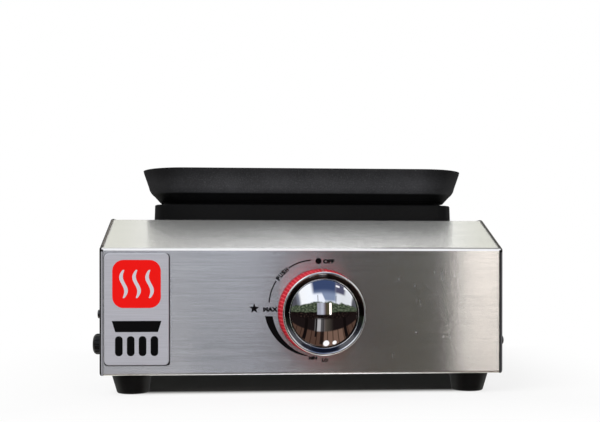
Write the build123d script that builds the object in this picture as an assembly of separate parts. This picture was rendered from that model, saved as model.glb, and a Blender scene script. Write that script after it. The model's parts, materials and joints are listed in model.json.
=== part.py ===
"""Table-top gas hot plate burner: a folded steel box with a sloping brow, a cast pan on a
raised frame, and one round gas burner behind a push-and-turn knob.

All sizes are millimetres. The model is built with x = 0 at the middle of the box, y = 0 on
the front panel's outer face (+Y runs to the back) and z = 0 on the table, and each piece is
moved at export so that the origin is the middle of the whole footprint on the table.
"""

import os
from math import atan2, cos, degrees, hypot, pi, radians, sin, tan

from build123d import *

# ---------------------------------------------------------------- driving dimensions
# Box of folded sheet
body_width = 350.0
body_depth = 315.0
foot_height = 17.5
front_height = 109.0        # front panel, bottom edge to fold
brow_depth = 64.0           # sloping strip, front to back
brow_rise = 28.0
sheet = 0.8
fold_radius = 1.8           # outside of every fold of the wrapper
side_lip = 3.2              # lip of a side panel that laps over the wrapper
side_bend = 2.4
side_corner = 4.0           # rounded lower corners of a side panel
lip_notch = 1.8             # relief cut in the lip at each corner of the outline
sheet_gap = 0.1             # play between two sheets that lie on each other
end_flange = 8.0
return_flange = 46.0        # front and back flanges under the box
bottom_rail = 11.0

# Feet
foot_margin = 24.0          # foot centre inside the box's side
foot_inset = 25.0           # foot centre behind the front face and ahead of the back
foot_top_radius = 17.5
foot_tip_radius = 13.8
foot_lean = 1.5             # tip centre stands this much nearer the middle
foot_edge = 1.6
foot_bore_radius = 6.0
foot_bore_depth = 9.0

# Pan and the frame that carries it
pan_x = 6.0
frame_width = 287.0
frame_depth = 225.0
frame_height = 15.6
frame_corner = 16.0
frame_setback = 12.0        # frame's front face behind the ridge of the brow
frame_band = 20.0
frame_wall = 3.0
frame_edge = 1.2
frame_draft = 0.6           # outer wall leans in this much from deck to top
frame_screw_span = 140.0
flue_slot_width = 30.0
flue_slot_height = 6.0
flue_slot_pitch = 40.0
flue_slots = 5
pan_width = 310.4
pan_depth = 250.0
pan_corner = 42.0
pan_height = 33.0           # foot of the pan to the top of its rim
pan_wall = 3.5
pan_floor = 4.5
rim_band = 2.5
pan_foot_inset = 19.1       # rim's outer edge to the foot ring's outer face
pan_foot_height = 2.6
pan_foot_width = 6.0
pan_step = 2.9              # ledge between the chamfer and the foot ring
pan_lean = 5.2              # wall's run from the rim band to where it starts to turn in
pan_turn_height = 17.2      # height of that point above the pan's foot
pan_chamfer_run = 5.7
pan_chamfer_rise = 6.3
pan_rest_gap = 0.3
pan_moat_width = 9.0
pan_moat_depth = 1.4
lug_length = 40.0
lug_drop = 5.0
lug_clear = 1.0

# Deck opening and the tray under it
opening_margin = 3.0        # opening's edge inside the frame's inner wall
opening_corner = 14.0
tray_gap = 0.3
tray_drop = 44.0
tray_flange_out = 20.0
tray_neck_clear = 3.0

# Knob
knob_x = 14.2
knob_gap = 0.5              # knob's back face off the panel when pushed in
knob_ring_length = 31.0
knob_back_radius = 37.0
knob_front_radius = 34.4
knob_bore_radius = 31.0
knob_ribs = 72
knob_rib_depth = 0.8
cap_radius = 33.8
cap_rim = 4.5
cap_wall = 1.2
dome_radius = 27.7
dome_height = 6.6
cove_depth = 2.0
hub_radius = 9.0
hub_web = 3.5
hub_reach = 26.0            # stem's end ahead of the knob's back face
knob_fit = 0.1
pointer_width = 1.8
pointer_proud = 0.4
pointer_depth = 1.2
clip_wall = 0.8
clip_width = 4.0
bush_radius = 12.0
bush_flange = 2.5

# Valve, stem and plug
stem_radius = 4.0
stem_flat = 3.0
stem_fit = 0.1
stem_collar_radius = 7.0
stem_collar = 2.0
push_travel = 3.5
bracket_y = 13.0            # front face of the valve's upright bracket
bracket_sheet = 1.5
bracket_width = 64.0
bracket_top = 26.0          # bracket's top edge above the stem
valve_cover = 2.0
valve_flange = 4.0
valve_flange_width = 46.0
valve_flange_height = 30.0
valve_screw_span = 34.0
valve_radius = 13.0
valve_length = 36.0
plug_radius = 8.0
plug_fit = 0.05
plug_length = 17.0
plug_bore_depth = 9.0
plug_end_wall = 6.0
spring_wire = 0.9
spring_turns = 5
port_radius = 2.5

# Gas way: jet, mixing tube, shutter and burner
jet_rise = 14.0             # jet's axis above the stem
jet_boss_radius = 9.0
jet_thread_radius = 4.0
jet_thread_length = 7.0
jet_hex = 5.0
jet_head = 4.0
jet_nose_radius = 2.6
jet_nose = 7.0
jet_hole_radius = 0.5
tube_radius = 12.0
tube_wall = 2.0
tube_end_wall = 1.5
tube_end_hole = 5.0
tube_window = 10.0
shutter_wall = 1.5
shutter_length = 16.0
shutter_fit = 0.08
shutter_tab = 9.0
burner_radius = 50.0
burner_bowl = 24.0
burner_wall = 3.0
burner_cap_height = 14.0
burner_cap_top = 4.0
burner_slots = 36
burner_slot_width = 2.0
burner_slot_height = 6.5
neck_radius = 19.0
neck_wall = 4.0
neck_flange = 4.0
neck_flange_radius = 27.0
neck_screw_span = 42.0
socket_length = 12.0
socket_wall = 3.0
burner_clear = 5.0          # bowl's floor above the tray's floor
spider_width = 9.0
spider_height = 6.0
stand_sheet = 1.2
stand_width = 44.0
stand_top = 62.0
stand_foot = 16.0
shield_y = 86.0
shield_sheet = 0.8
shield_half_width = 80.0
shield_foot = 12.0
shield_gap = 2.0

# Spark igniter
igniter_size = (14.0, 32.0, 18.0)
igniter_gap = 1.5
lead_radius = 1.3
insulator_radius = 3.5
insulator_length = 36.0
electrode_radius = 1.0
electrode_angle = -60.0
electrode_standoff = 9.0
electrode_reach = 10.0

# Gas inlet and supply pipe
inlet_y = 70.0
inlet_height = 39.0
inlet_reach = 16.5
inlet_radius = 9.7
inlet_round = 3.9
inlet_ribs = 16
inlet_rib_radius = 1.1
inlet_port_radius = 5.7
inlet_port_depth = 13.0
inlet_stub_radius = 7.0
inlet_stub = 24.0
locknut_across = 22.0
locknut_length = 5.0
pipe_radius = 4.0
pipe_nut_across = 15.0
pipe_nut_length = 12.0
pipe_bend = 18.0
inlet_boss = 29.0           # valve's inlet boss, from the stem's axis

# Badge on the front panel
badge_width = 54.8
badge_height = 95.6
badge_corner = 4.0
badge_plate = 1.2
badge_bevel = 0.5
badge_tape = 0.9
badge_tape_inset = 1.0
badge_side_gap = 1.2        # badge's edge to the side lip
badge_top_gap = 4.2

# Fasteners: (shank radius, head radius, head height)
M4 = (2.0, 3.8, 2.3)
M3 = (1.5, 2.9, 1.8)
thread_fit = 0.05
clearance_hole = 0.3
nut_height = 3.2
nut_across = 7.0
side_screw_heights = {-1: 70.0, 1: 46.0}
side_screw_inset = 8.0
vent_slots = 8
vent_slot = (22.0, 4.0)
vent_pitch = 30.0

# ---------------------------------------------------------------- places worked out from them
half = body_width / 2
foot_x = half - foot_margin
base_z = foot_height
fold_z = base_z + front_height
deck_z = fold_z + brow_rise
shell_half = half - sheet - sheet_gap
plate_z = base_z + sheet + sheet_gap          # underside of the base plate
plate_top = plate_z + sheet
pan_y = brow_depth + frame_setback + frame_depth / 2
frame_top = deck_z + frame_height
pan_z = frame_top + pan_rest_gap
opening_width = frame_width - 2 * (frame_band + opening_margin)
opening_depth = frame_depth - 2 * (frame_band + opening_margin)
tray_top = deck_z - sheet - sheet_gap
tray_floor = tray_top - tray_drop
stem_z = base_z + front_height / 2
knob_back = -push_travel - knob_gap
ring_front = knob_back - knob_ring_length
cap_front = ring_front - cap_rim
cover_y = bracket_y + bracket_sheet
flange_y = cover_y + valve_cover
valve_end = flange_y + valve_length
collar_end = flange_y + sheet_gap + stem_collar
plug_end = valve_end - plug_end_wall
plug_front = plug_end - plug_length
stem_in = plug_front + plug_bore_depth - push_travel - 1.0
stem_out = knob_back - hub_reach
jet_z = stem_z + jet_rise
jet_y = valve_end + 2.0                        # face of the jet's boss
tube_front = jet_y + jet_head + 4.0
tube_back = pan_y - neck_radius + 1.0
neck_bottom = stem_z
bowl_floor = tray_floor + sheet + burner_clear
bowl_top = bowl_floor + burner_bowl
burner_top = bowl_top + burner_cap_height
stand_z = neck_bottom - neck_flange - stand_sheet
inlet_x = -half
pipe_end_x = knob_x - inlet_boss
pipe_start_x = inlet_x + inlet_stub
valve_port_y = plug_front + plug_length / 2
electrode_x = pan_x + (burner_radius + electrode_standoff) * cos(radians(electrode_angle))
electrode_y = pan_y + (burner_radius + electrode_standoff) * sin(radians(electrode_angle))
footprint_x = (M4[2] - inlet_reach) / 2        # middle of the whole footprint
footprint_y = (body_depth + sheet + cap_front - dome_height) / 2


# ---------------------------------------------------------------- shapes used again and again
def block(x0, x1, y0, y1, z0, z1):
    """Box between two corners."""
    centre = Pos((x0 + x1) / 2, (y0 + y1) / 2, (z0 + z1) / 2)
    return centre * Box(x1 - x0, y1 - y0, z1 - z0)


def rod_x(radius, x0, x1, y, z):
    return Pos((x0 + x1) / 2, y, z) * Rot(0, 90, 0) * Cylinder(radius, x1 - x0)


def rod_y(radius, y0, y1, x, z):
    return Pos(x, (y0 + y1) / 2, z) * Rot(90, 0, 0) * Cylinder(radius, y1 - y0)


def rod_z(radius, z0, z1, x, y):
    return Pos(x, y, (z0 + z1) / 2) * Cylinder(radius, z1 - z0)


def slab(width, depth, corner, z0, z1, x=0.0, y=0.0):
    """Plate with rounded corners, lying flat."""
    return Pos(x, y, z0) * extrude(RectangleRounded(width, depth, corner), z1 - z0)


def spin_y(points, x, z):
    """Solid turned about an axis along Y: points are (radius, y)."""
    outline = Plane.XY * make_face(Polyline(*points, close=True))
    return Pos(x, 0, z) * revolve(outline, Axis.Y)


def joined(pieces):
    """Several solids of one node."""
    return Compound(children=[solid for piece in pieces for solid in piece.solids()])


def screw(size, length, at, axis):
    """Pan-head screw: at is the seat under its head, axis runs from the head to the tip."""
    shank, head, height = size
    body = Pos(0, 0, length / 2) * Cylinder(shank, length)
    top = Pos(0, 0, -height / 2) * Cylinder(head, height)
    top = fillet(top.edges().sort_by(Axis.Z)[0], height * 0.4)
    slot = Pos(0, 0, -height) * (Box(head * 1.2, 0.8, 1.6) + Box(0.8, head * 1.2, 1.6))
    return Plane(at, z_dir=axis) * (body + top - slot)


def hole(radius, length, at, axis):
    """Round cutter from at along axis, started a little early."""
    early = 1.0
    return Plane(at, z_dir=axis) * Pos(0, 0, length / 2 - early / 2) * Cylinder(
        radius, length + early
    )


def hex_bar(across, length, at, axis):
    outline = RegularPolygon(across / 2, 6, major_radius=False)
    return Plane(at, z_dir=axis) * extrude(outline, length)


def side_outline(grow, corner_radius, low_radius):
    """Outline of the box seen from the side, as a face across X, grown outwards."""
    slope = atan2(brow_rise, brow_depth)
    shift = grow * tan(slope / 2)
    turn = grow * tan((pi / 2 - slope) / 2)
    points = [
        (-grow, base_z - grow),
        (-grow, fold_z + turn),
        (brow_depth - shift, deck_z + grow),
        (body_depth + grow, deck_z + grow),
        (body_depth + grow, base_z - grow),
    ]
    face = Plane.YZ * make_face(Polyline(*points, close=True))
    low = face.vertices().group_by(Axis.Z)[0]
    high = [v for v in face.vertices() if v not in low]
    return fillet(fillet(high, corner_radius).vertices().group_by(Axis.Z)[0], low_radius)


# ---------------------------------------------------------------- box
def body_shell():
    """Front, brow, deck and back in one folded sheet, with flanged ends."""
    outer = Pos(-shell_half, 0, 0) * extrude(
        side_outline(0, fold_radius, fold_radius), 2 * shell_half
    )
    ends = outer.edges().filter_by(lambda e: abs(abs(e.center().X) - shell_half) < 1e-3)
    outer = fillet(ends, fold_radius)
    inside = fold_radius - sheet
    room = Pos(-shell_half + sheet, 0, 0) * extrude(
        side_outline(-sheet, inside, inside), 2 * (shell_half - sheet)
    )
    ends = room.edges().filter_by(
        lambda e: abs(abs(e.center().X) - shell_half + sheet) < 1e-3
    )
    room = fillet(ends, inside * 0.9)
    shell = outer - room
    window = side_outline(-end_flange, fold_radius, fold_radius)
    shell -= Pos(-half, 0, 0) * extrude(window, body_width)
    shell -= block(
        -shell_half + bottom_rail,
        shell_half - bottom_rail,
        return_flange,
        body_depth - return_flange,
        base_z - 1,
        base_z + 2,
    )
    shell -= slab(
        opening_width, opening_depth, opening_corner, deck_z - 3, deck_z + 1, pan_x, pan_y
    )
    shell -= rod_y(bush_radius, -1, 2, knob_x, stem_z)
    for column in range(vent_slots):
        x = (column - (vent_slots - 1) / 2) * vent_pitch
        for row in (0.62, 0.74):
            z = base_z + row * (deck_z - base_z)
            slot = Plane((x, body_depth + 1, z), x_dir=(1, 0, 0), z_dir=(0, -1, 0))
            shell -= slot * extrude(SlotOverall(*vent_slot), 3)
    for x, y, _ in frame_screw_places():
        shell -= rod_z(M4[0] + clearance_hole, deck_z - 3, deck_z + 1, x, y)
    for x, y in foot_places() + base_screw_places() + bracket_foot_places():
        shell -= rod_z(M4[0] + clearance_hole, base_z - 1, base_z + 2, x, y)
    for side, y, z in side_screw_places():
        tip = hole(M4[0] + thread_fit, 6, (side * (shell_half + 1), y, z), (-side, 0, 0))
        shell -= tip
    return shell


def side_panel(side):
    """End cover whose lip laps over the wrapper all round but the bottom."""
    blank = Pos(half - side_lip, 0, 0) * extrude(
        side_outline(sheet, fold_radius + sheet, side_corner), side_lip
    )
    rim = blank.edges().filter_by(lambda e: abs(e.center().X - half) < 1e-3)
    blank = fillet(rim, side_bend)
    inside = side_bend - sheet
    room = Pos(half - side_lip - 1, 0, 0) * extrude(
        side_outline(0, fold_radius, fold_radius), side_lip + 1 - sheet
    )
    rim = room.edges().filter_by(lambda e: abs(e.center().X - half + sheet) < 1e-3)
    panel = blank - fillet(rim, inside)
    panel -= block(half - side_lip - 1, half + 1, -5, body_depth + 5, 0, base_z)
    for y, z, turn in ((0, fold_z, 57), (brow_depth, deck_z, 102), (body_depth, deck_z, 135)):
        cut = Box(side_lip + 1, 8, lip_notch)
        x = half - sheet - side_lip / 2 - 1.2
        panel -= Pos(x, y, z) * Rot(-turn + 90, 0, 0) * cut
    if side < 0:
        panel = mirror(panel, Plane.YZ)
        panel -= rod_x(
            inlet_stub_radius + clearance_hole, -half - 1, -half + 2, inlet_y, inlet_height
        )
    for which, y, z in side_screw_places():
        if which == side:
            panel -= hole(M4[0] + clearance_hole, 3, (side * half, y, z), (-side, 0, 0))
    return panel


def side_screw_places():
    return [
        (side, y, side_screw_heights[side])
        for side in (-1, 1)
        for y in (side_screw_inset, body_depth - side_screw_inset)
    ]


def side_screws():
    return joined(
        screw(M4, 5.0, (side * half, y, z), (-side, 0, 0))
        for side, y, z in side_screw_places()
    )


def base_screw_places():
    return [
        (x, y)
        for x in (-half * 0.45, half * 0.45)
        for y in (return_flange * 0.7, body_depth - return_flange * 0.7)
    ]


def base_plate():
    """Flat bottom with air slots; it lies on the wrapper's flanges."""
    edge = fold_radius + sheet_gap
    plate = block(
        -shell_half + edge,
        shell_half - edge,
        edge,
        body_depth - edge,
        plate_z,
        plate_top,
    )
    for column in range(vent_slots):
        x = (column - (vent_slots - 1) / 2) * vent_pitch
        for y in (0.37, 0.78):
            place = Pos(x, body_depth * y, plate_z - 1)
            plate -= place * extrude(SlotOverall(*vent_slot), 3)
    for x, y in foot_places() + base_screw_places():
        plate -= rod_z(M4[0] + thread_fit, plate_z - 1, plate_top + 1, x, y)
    for x, y in stand_screw_places() + bracket_foot_places() + shield_foot_places():
        plate -= rod_z(M4[0] + thread_fit, plate_z - 1, plate_top + 1, x, y)
    return plate


def base_screws():
    return joined(screw(M4, 6.0, (x, y, base_z), (0, 0, 1)) for x, y in base_screw_places())


def foot_places():
    return [(x, y) for y in (foot_inset, body_depth - foot_inset) for x in (-foot_x, foot_x)]


def foot(x, y):
    """Tapered rubber foot, its tip a little nearer the middle of the box."""
    lean = -foot_lean if x > 0 else foot_lean
    tip = Pos(x + lean, y, 0) * Circle(foot_tip_radius)
    top = Pos(x, y, base_z) * Circle(foot_top_radius)
    cone = loft([tip, top])
    cone = fillet(cone.edges().group_by(Axis.Z)[0], foot_edge)
    cone -= rod_z(foot_bore_radius, -1, foot_bore_depth, x, y)
    return cone - rod_z(M4[0] + clearance_hole, 0, base_z + 1, x, y)


def foot_screws():
    length = plate_top + nut_height + 1 - foot_bore_depth
    return joined(
        screw(M4, length, (x, y, foot_bore_depth), (0, 0, 1)) for x, y in foot_places()
    )


def foot_nuts():
    nuts = []
    for x, y in foot_places():
        nut = hex_bar(nut_across, nut_height, (x, y, plate_top), (0, 0, 1))
        nuts.append(nut - rod_z(M4[0] + thread_fit, plate_top - 1, plate_top + 9, x, y))
    return joined(nuts)


def badge_middle():
    x = -half + side_lip + badge_side_gap + badge_width / 2
    return x, fold_z - badge_top_gap - badge_height / 2


def badge(width, height, corner, y_back, y_front):
    x, z = badge_middle()
    face = Plane((x, y_back, z), x_dir=(1, 0, 0), z_dir=(0, -1, 0))
    return face * extrude(RectangleRounded(width, height, corner), y_back - y_front)


def badge_cover():
    """Bevelled nameplate, left bare."""
    back = -badge_tape
    plate = badge(badge_width, badge_height, badge_corner, back, back - badge_plate)
    return chamfer(plate.faces().sort_by(Axis.Y)[0].edges(), badge_bevel)


def badge_pad():
    trim = 2 * badge_tape_inset
    corner = badge_corner - badge_tape_inset
    return badge(badge_width - trim, badge_height - trim, corner, 0, -badge_tape)


# ---------------------------------------------------------------- frame, pan and tray
def frame_screw_places():
    x = frame_width / 2 - frame_band / 2
    y = frame_screw_span / 2
    return [(pan_x + i * x, pan_y + j * y, deck_z) for i in (-1, 1) for j in (-1, 1)]


def pan_frame():
    """Cast ring on the deck that the pan stands on, hollow underneath."""
    bottom = Pos(pan_x, pan_y, deck_z) * RectangleRounded(frame_width, frame_depth, frame_corner)
    top = Pos(pan_x, pan_y, frame_top) * RectangleRounded(
        frame_width - 2 * frame_draft, frame_depth - 2 * frame_draft, frame_corner - frame_draft
    )
    ring = loft([bottom, top])
    ring = fillet(ring.faces().sort_by(Axis.Z)[-1].edges(), frame_edge)
    inner_corner = opening_corner + opening_margin
    inner = (frame_width - 2 * frame_band, frame_depth - 2 * frame_band)
    ring -= slab(*inner, inner_corner, deck_z - 1, frame_top + 1, pan_x, pan_y)
    roof = frame_top - frame_wall
    outside = [s - 2 * frame_wall for s in (frame_width, frame_depth)]
    inside = [s + 2 * frame_wall for s in inner]
    hollow = slab(*outside, frame_corner - frame_wall, deck_z - 1, roof, pan_x, pan_y)
    hollow -= slab(*inside, inner_corner + frame_wall, deck_z - 2, roof + 1, pan_x, pan_y)
    ring -= hollow
    back = pan_y + frame_depth / 2
    for column in range(flue_slots):
        x = pan_x + (column - (flue_slots - 1) / 2) * flue_slot_pitch
        slot = Plane((x, back + 1, deck_z + frame_height / 2), x_dir=(1, 0, 0), z_dir=(0, -1, 0))
        ring -= slot * extrude(SlotOverall(flue_slot_width, flue_slot_height), frame_band + 2)
    for x, y, z in frame_screw_places():
        ring += rod_z(frame_band / 2 - frame_wall + 0.5, z, roof + 0.5, x, y)
        ring -= rod_z(M4[0] + thread_fit, z - 1, roof - 1, x, y)
    return ring


def frame_screws():
    seat = tray_top - sheet
    return joined(screw(M4, 10.0, (x, y, seat), (0, 0, 1)) for x, y, _ in frame_screw_places())


def pan():
    """Cast pan with flared sides, a foot ring and lugs that find the frame's opening."""
    foot_top = pan_foot_height
    ledge = pan_foot_inset - pan_step
    turn = pan_foot_inset - pan_step - pan_chamfer_run
    chamfer_top = foot_top + pan_chamfer_rise
    floor_top = foot_top + pan_floor
    outer = [
        (0, pan_height),
        (0.6, pan_height - rim_band),
        (pan_lean, pan_turn_height),
    ]
    outside = Polyline(*outer)
    bend = ThreePointArc(
        (pan_lean, pan_turn_height),
        ((pan_lean + turn) / 2 - 0.8, (pan_turn_height + chamfer_top) / 2 - 0.6),
        (turn, chamfer_top),
    )
    reach = pan_foot_inset + pan_foot_width
    under = Polyline(
        (turn, chamfer_top),
        (ledge, foot_top),
        (pan_foot_inset, foot_top),
        (pan_foot_inset, 0),
        (reach, 0),
        (reach, foot_top),
        (reach, floor_top),
        (ledge + pan_wall, floor_top),
    )
    inside = ThreePointArc(
        (ledge + pan_wall, floor_top),
        ((ledge + pan_wall + pan_lean + pan_wall) / 2 - 2.4, (floor_top + pan_turn_height) / 2 - 2.2),
        (pan_lean + pan_wall, pan_turn_height),
    )
    lip = Polyline((pan_lean + pan_wall, pan_turn_height), (pan_wall, pan_height), (0, pan_height))
    section = make_face(Wire(outside.edges() + bend.edges() + under.edges() + inside.edges() + lip.edges()))
    path = Pos(pan_x, pan_y, pan_z) * RectangleRounded(pan_width, pan_depth, pan_corner).wire()
    start = path @ 0
    inward = (Vector(pan_x, pan_y, pan_z) - start).normalized()
    tangent = path % 0
    normal_in = Vector(0, 0, 1).cross(tangent)
    if normal_in.dot(inward) < 0:
        normal_in = -normal_in
    place = Plane(start, x_dir=normal_in, z_dir=normal_in.cross(Vector(0, 0, 1)))
    walls = sweep(place * section, path=path)
    floor_size = [s - 2 * reach for s in (pan_width, pan_depth)]
    floor = slab(
        floor_size[0] + 1, floor_size[1] + 1, pan_corner - reach + 0.5, pan_z + foot_top,
        pan_z + floor_top, pan_x, pan_y,
    )
    whole = walls + floor
    moat_out = [s - 2 * (ledge + pan_wall + 4) for s in (pan_width, pan_depth)]
    moat_in = [s - 2 * pan_moat_width for s in moat_out]
    top = pan_z + floor_top
    corner = pan_corner - ledge - pan_wall - 4
    moat = slab(*moat_out, corner, top - pan_moat_depth, top + 1, pan_x, pan_y)
    moat -= slab(*moat_in, corner - pan_moat_width / 2, top - 2, top + 2, pan_x, pan_y)
    whole -= moat
    for i, j, along in ((1, 0, 1), (-1, 0, 1), (0, 1, 0), (0, -1, 0)):
        room_x = frame_width / 2 - frame_band - lug_clear
        room_y = frame_depth / 2 - frame_band - lug_clear
        wide = (pan_wall, lug_length) if along else (lug_length, pan_wall)
        x = pan_x + i * (room_x - pan_wall / 2)
        y = pan_y + j * (room_y - pan_wall / 2)
        whole += Pos(x, y, pan_z + (foot_top - lug_drop) / 2 + 0.25) * Box(
            *wide, foot_top + lug_drop + 0.5
        )
    return whole


def heat_tray():
    """Pressed tray hung under the deck opening, with the burner standing in it."""
    width, depth = opening_width - 2 * tray_gap, opening_depth - 2 * tray_gap
    flange = slab(
        frame_width - 6,
        depth + 2 * tray_flange_out,
        opening_corner,
        tray_top - sheet,
        tray_top,
        pan_x,
        pan_y,
    )
    tub = slab(width, depth, opening_corner, tray_floor, tray_top, pan_x, pan_y)
    room = slab(
        width - 2 * sheet,
        depth - 2 * sheet,
        opening_corner - sheet,
        tray_floor + sheet,
        tray_top + 1,
        pan_x,
        pan_y,
    )
    tray = flange + tub - room
    tray -= rod_z(neck_radius + tray_neck_clear, tray_floor - 1, tray_floor + 2, pan_x, pan_y)
    tray -= rod_z(
        insulator_radius + stem_fit, tray_floor - 1, tray_floor + 2, electrode_x, electrode_y
    )
    for x, y, _ in frame_screw_places():
        tray -= rod_z(M4[0] + clearance_hole, tray_top - 2, tray_top + 1, x, y)
    return tray


# ---------------------------------------------------------------- burner
def burner_body():
    """Bowl on a hollow neck, with a socket for the mixing tube."""
    bowl = rod_z(burner_radius, bowl_floor, bowl_top, pan_x, pan_y)
    neck = rod_z(neck_radius, neck_bottom, bowl_floor + 1, pan_x, pan_y)
    flange = rod_z(neck_flange_radius, neck_bottom - neck_flange, neck_bottom, pan_x, pan_y)
    socket_radius = tube_radius + socket_wall
    socket_front = pan_y - neck_radius - socket_length
    socket = rod_y(socket_radius, socket_front, pan_y, pan_x, jet_z)
    body = bowl + neck + flange + socket
    body -= rod_z(
        burner_radius - burner_wall, bowl_floor + burner_wall, bowl_top + 1, pan_x, pan_y
    )
    body -= rod_z(neck_radius - neck_wall, neck_bottom, bowl_top, pan_x, pan_y)
    body -= rod_y(tube_radius + thread_fit, socket_front - 1, tube_back, pan_x, jet_z)
    body -= rod_y(tube_radius - tube_wall, tube_back - 1, pan_y, pan_x, jet_z)
    spider = block(
        pan_x - neck_radius + 1,
        pan_x + neck_radius - 1,
        pan_y - spider_width / 2,
        pan_y + spider_width / 2,
        bowl_floor,
        bowl_floor + spider_height,
    )
    body += spider
    body -= rod_z(M4[0] + thread_fit, bowl_floor - 1, bowl_top, pan_x, pan_y)
    for side in (-1, 1):
        x = pan_x + side * neck_screw_span / 2
        body -= rod_z(M4[0] + thread_fit, neck_bottom - neck_flange - 1, neck_bottom + 1, x, pan_y)
    return body


def burner_cap():
    """Slotted crown that closes the bowl."""
    cap = rod_z(burner_radius, bowl_top, burner_top, pan_x, pan_y)
    cap = chamfer(cap.edges().group_by(Axis.Z)[-1], 2.0)
    spigot = burner_radius - burner_wall - thread_fit
    cap += rod_z(spigot, bowl_top - 4, bowl_top + 1, pan_x, pan_y)
    cap -= rod_z(
        spigot - burner_wall, bowl_top - 5, burner_top - burner_cap_top, pan_x, pan_y
    )
    post = rod_z(6, bowl_floor + spider_height, burner_top - 1, pan_x, pan_y)
    cap += post
    cap -= rod_z(M4[0] + clearance_hole, bowl_floor, burner_top + 1, pan_x, pan_y)
    slot_z = bowl_top + 1.5
    for turn in range(burner_slots):
        slot = Pos(burner_radius, 0, slot_z + burner_slot_height / 2) * Box(
            3 * burner_wall + 4, burner_slot_width, burner_slot_height
        )
        cap -= Pos(pan_x, pan_y, 0) * Rot(0, 0, 360 / burner_slots * turn) * slot
    return cap


def burner_cap_screw():
    length = burner_top - bowl_floor - 1
    return joined([screw(M4, length, (pan_x, pan_y, burner_top), (0, 0, -1))])


def burner_stand():
    """Bridge of bent sheet that carries the burner on the base plate."""
    half_top = stand_top / 2
    y0, y1 = pan_y - stand_width / 2, pan_y + stand_width / 2
    stand = block(pan_x - half_top, pan_x + half_top, y0, y1, stand_z, stand_z + stand_sheet)
    for side in (-1, 1):
        x0 = pan_x + side * half_top
        x1 = pan_x + side * (half_top - stand_sheet)
        x2 = pan_x + side * (half_top + stand_foot)
        stand += block(min(x0, x1), max(x0, x1), y0, y1, plate_top, stand_z + stand_sheet)
        stand += block(min(x1, x2), max(x1, x2), y0, y1, plate_top, plate_top + stand_sheet)
        x = pan_x + side * neck_screw_span / 2
        stand -= rod_z(M4[0] + clearance_hole, stand_z - 1, stand_z + 3, x, pan_y)
    for x, y in stand_screw_places():
        stand -= rod_z(M4[0] + clearance_hole, plate_top - 1, plate_top + 3, x, y)
    return stand


def stand_screw_places():
    reach = stand_top / 2 + stand_foot / 2
    return [(pan_x + side * reach, pan_y) for side in (-1, 1)]


def burner_screws():
    neck = [
        screw(M4, 6.0, (pan_x + side * neck_screw_span / 2, pan_y, stand_z), (0, 0, 1))
        for side in (-1, 1)
    ]
    seat = plate_top + stand_sheet
    feet = [screw(M4, 4.0, (x, y, seat), (0, 0, -1)) for x, y in stand_screw_places()]
    return joined(neck + feet)


def mixing_tube():
    """Tube that draws air in round the jet; its front end is walled but for the jet's hole."""
    tube = rod_y(tube_radius, tube_front, tube_back, pan_x, jet_z)
    tube -= rod_y(
        tube_radius - tube_wall, tube_front + tube_end_wall, tube_back + 1, pan_x, jet_z
    )
    tube -= rod_y(tube_end_hole, tube_front - 1, tube_front + 3, pan_x, jet_z)
    y0 = tube_front + 4
    return tube - block(
        pan_x - 20, pan_x + 20, y0, y0 + tube_window, jet_z - 5, jet_z + 5
    )


def air_shutter():
    """Sleeve that turns on the mixing tube and covers more or less of its windows."""
    y0 = tube_front + 1
    y1 = y0 + shutter_length
    outer = tube_radius + shutter_fit + shutter_wall
    sleeve = rod_y(outer, y0, y1, pan_x, jet_z)
    tab = block(pan_x - 4, pan_x + 4, y0, y0 + 2, jet_z + tube_radius, jet_z + outer + shutter_tab)
    sleeve += tab
    sleeve -= rod_y(tube_radius + shutter_fit, y0 - 1, y1 + 1, pan_x, jet_z)
    w0 = tube_front + 4
    return sleeve - block(pan_x - 20, pan_x + 20, w0, w0 + tube_window, jet_z - 5, jet_z + 5)


def heat_shield():
    """Upright sheet between the burner and the valve."""
    shield = block(
        pan_x - shield_half_width,
        pan_x + shield_half_width,
        shield_y,
        shield_y + shield_sheet,
        plate_top,
        tray_floor - shield_gap,
    )
    shield += block(
        pan_x - shield_half_width,
        pan_x + shield_half_width,
        shield_y,
        shield_y + shield_foot,
        plate_top,
        plate_top + shield_sheet,
    )
    shield -= rod_y(
        tube_radius + clearance_hole, shield_y - 1, shield_y + 2, pan_x, jet_z
    )
    shield -= rod_y(4 * lead_radius, shield_y - 1, shield_y + 2, *lead_hole())
    for x, y in shield_foot_places():
        shield -= rod_z(M4[0] + clearance_hole, plate_top - 1, plate_top + 2, x, y)
    return shield


def lead_hole():
    """Where the spark lead goes through the shield: x and z."""
    return igniter_middle()[0] + 10, stem_z - 22


def shield_foot_places():
    x = shield_half_width - 10
    return [(pan_x - x, shield_y + shield_foot * 0.6), (pan_x + x, shield_y + shield_foot * 0.6)]


def shield_screws():
    seat = plate_top + shield_sheet
    return joined(screw(M4, 3.5, (x, y, seat), (0, 0, -1)) for x, y in shield_foot_places())


# ---------------------------------------------------------------- valve and gas way
def bracket_foot_places():
    y = bracket_y + bracket_sheet + 9
    return [(knob_x + side * (bracket_width / 2 - 7), y) for side in (-1, 1)]


def valve_bracket():
    """Upright with a foot; the valve is bolted to its back."""
    x0, x1 = knob_x - bracket_width / 2, knob_x + bracket_width / 2
    bracket = block(x0, x1, bracket_y, cover_y, plate_top, stem_z + bracket_top)
    bracket += block(x0, x1, bracket_y, cover_y + 16, plate_top, plate_top + bracket_sheet)
    bracket -= rod_y(plug_radius, bracket_y - 1, cover_y + 1, knob_x, stem_z)
    for x, z in valve_screw_places():
        bracket -= rod_y(M4[0] + clearance_hole, bracket_y - 1, cover_y + 1, x, z)
    for x, y in bracket_foot_places():
        bracket -= rod_z(M4[0] + clearance_hole, plate_top - 1, plate_top + 3, x, y)
    x, z = igniter_screw_place()
    return bracket - rod_y(M3[0] + clearance_hole, bracket_y - 1, cover_y + 1, x, z)


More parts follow.
